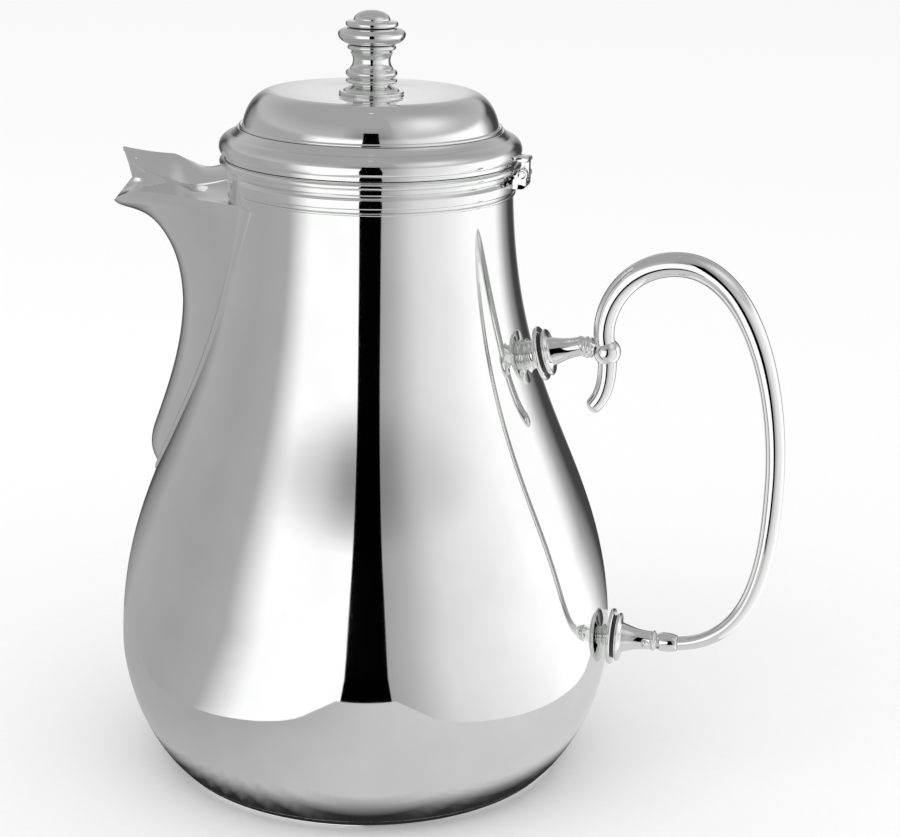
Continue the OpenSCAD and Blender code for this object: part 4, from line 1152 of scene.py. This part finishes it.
def hang_tent():
    """Soft boxes, the black gap between them, the ceiling and the painted reflection of the table that the
    silver reflects.
    """
    cloth = glow("soft_box_cloth")
    turns = np.linspace(-180, 180, 145)
    dome = [[on_dome(t, rise, TENT_RADIUS) for t in turns] for rise in TENT_RISES]
    screen("soft_boxes", dome, [[box_light(t, rise) for t in turns] for rise in TENT_RISES], cloth)
    skirt = [[at_turn(t, reach, SKIRT_Z) for t in turns] for reach in SKIRT_REACHES]
    screen("soft_box_skirt", skirt, [[box_light(t, 0) for t in turns] for _ in SKIRT_REACHES], cloth)
    # Rows of the gap: radius, degrees up and half width, from the painted table reflection along the table
    # and up the tent
    gap = [(GAP_START, 0.0, GAP_LOW + 1.2)] + [(reach, 0.0, GAP_LOW) for reach in (0.3, 0.5, GAP_RADIUS)]
    for rise in (6, 12, 18, 24, 30, GAP_END):
        gap.append((GAP_RADIUS, rise, GAP_LOW + (GAP_TOP - GAP_LOW) * min(1.0, rise / BOX_TOP)))
    shares = np.linspace(-1, 1, 9)
    black = [[on_dome(s * half, rise, radius, GAP_Z) for s in shares] for radius, rise, half in gap]
    screen("black_gap", black, [[0.0] * len(shares) for _ in gap], cloth)
    # The table as the silver reflects it: a glowing sheet, seen only in reflections, with painted shade that
    # is darkest round the foot
    table_reflection = []
    for away in np.linspace(0, 1, 69):
        half = TABLE_REFLECTION_FRONT_HALF + (TABLE_REFLECTION_BACK_HALF - TABLE_REFLECTION_FRONT_HALF) * away
        y = TABLE_REFLECTION_FRONT + (TABLE_REFLECTION_BACK - TABLE_REFLECTION_FRONT) * away
        table_reflection.append([(s * half, y, TABLE_REFLECTION_Z) for s in np.linspace(-1, 1, 57)])
    screen("painted_table_reflection", table_reflection, [[table_reflection_light(x, y) for x, y, _ in row] for row in table_reflection], cloth)


def area_light(name, place, target, size, power):
    """A square soft light that faces a point."""
    data = bpy.data.lights.new(name, "AREA")
    data.shape = "SQUARE"
    data.size = size
    data.energy = power
    lamp = bpy.data.objects.new(name, data)
    bpy.context.scene.collection.objects.link(lamp)
    lamp.location = place
    lamp.rotation_mode = "QUATERNION"
    lamp.rotation_quaternion = (Vector(target) - Vector(place)).to_track_quat("-Z", "Y")
    lamp.visible_glossy = False
    lamp.visible_camera = False


def light_room():
    """White world: the background for the eye and plain light from all round. Metal shows the tent."""
    world = bpy.data.worlds.new("White studio")
    bpy.context.scene.world = world
    world.use_nodes = True
    tree = world.node_tree
    tree.nodes.clear()
    white = node_with(tree, "ShaderNodeBackground", {"Color": (1, 1, 1, 1), "Strength": 1.0})
    node_with(tree, "ShaderNodeOutputWorld", links={"Surface": white.outputs["Background"]})


def lay_floor(colours):
    """A pale table that keeps the pot's shadow and fades into the white background."""
    material, tree = empty_material("white_laminate")
    place = node_with(tree, "ShaderNodeTexCoord").outputs["Object"]
    grain = node_with(tree, "ShaderNodeTexNoise", {"Scale": 1 / (2 * MM), "Detail": 3.0}, {"Vector": place})
    darker = tuple(c * 0.985 for c in colours.floor[:3]) + (1,)
    surface = node_with(
        tree,
        "ShaderNodeBsdfPrincipled",
        {"Roughness": 0.6, "Specular IOR Level": 0.0},
        {"Base Color": ramp(tree, grain.outputs["Fac"], 0.3, 0.7, darker, colours.floor)},
    )
    node_with(tree, "ShaderNodeOutputMaterial", links={"Surface": surface.outputs["BSDF"]})
    mesh = bpy.data.meshes.new("floor")
    corners = [(FLOOR_HALF * x, FLOOR_HALF * y, 0) for x, y in ((-1, -1), (1, -1), (1, 1), (-1, 1))]
    mesh.from_pydata(corners, [], [(0, 1, 2, 3)])
    mesh.materials.append(material)
    floor = bpy.data.objects.new("floor", mesh)
    bpy.context.scene.collection.objects.link(floor)


class POT_OT_stage(bpy.types.Operator):
    """Sets the camera, the pale floor, soft studio light and the tent that the silver reflects"""

    bl_idname = "coffee_pot.stage"
    bl_label = "Stage"

    def execute(self, context):
        scene = context.scene
        scene.view_settings.view_transform = "Standard"
        place_camera()
        light_room()
        lay_floor(scene.pot_colours)
        hang_tent()
        middle = (0, 0, 80 * MM)
        for name, (place, power) in (("key", KEY_LAMP), ("fill", FILL_LAMP)):
            area_light(name, place, middle, LAMP_SIDE, power)
        return {"FINISHED"}


# ---- Panel and registration ----

STEPS = (
    POT_OT_body,
    POT_OT_spout,
    POT_OT_lid,
    POT_OT_finial,
    POT_OT_handle,
    POT_OT_sockets,
    POT_OT_hinge,
    POT_OT_stage,
)


class POT_PT_panel(bpy.types.Panel):
    """Lists the pot's pieces and the stage"""

    bl_label = "Coffee Pot"
    bl_idname = "POT_PT_panel"
    bl_space_type = "VIEW_3D"
    bl_region_type = "UI"
    bl_category = "Coffee Pot"

    def draw(self, context):
        for step in STEPS:
            self.layout.operator(step.bl_idname)


CLASSES = (PotSizes, PotColours, *STEPS, POT_PT_panel)


def register():
    for made in CLASSES:
        bpy.utils.register_class(made)
    bpy.types.Scene.pot_sizes = bpy.props.PointerProperty(type=PotSizes)
    bpy.types.Scene.pot_colours = bpy.props.PointerProperty(type=PotColours)


def unregister():
    del bpy.types.Scene.pot_colours
    del bpy.types.Scene.pot_sizes
    for made in reversed(CLASSES):
        bpy.utils.unregister_class(made)


def main():
    register()
    for step in STEPS:
        group, action = step.bl_idname.split(".")
        getattr(getattr(bpy.ops, group), action)()


if __name__ == "__main__":
    main()
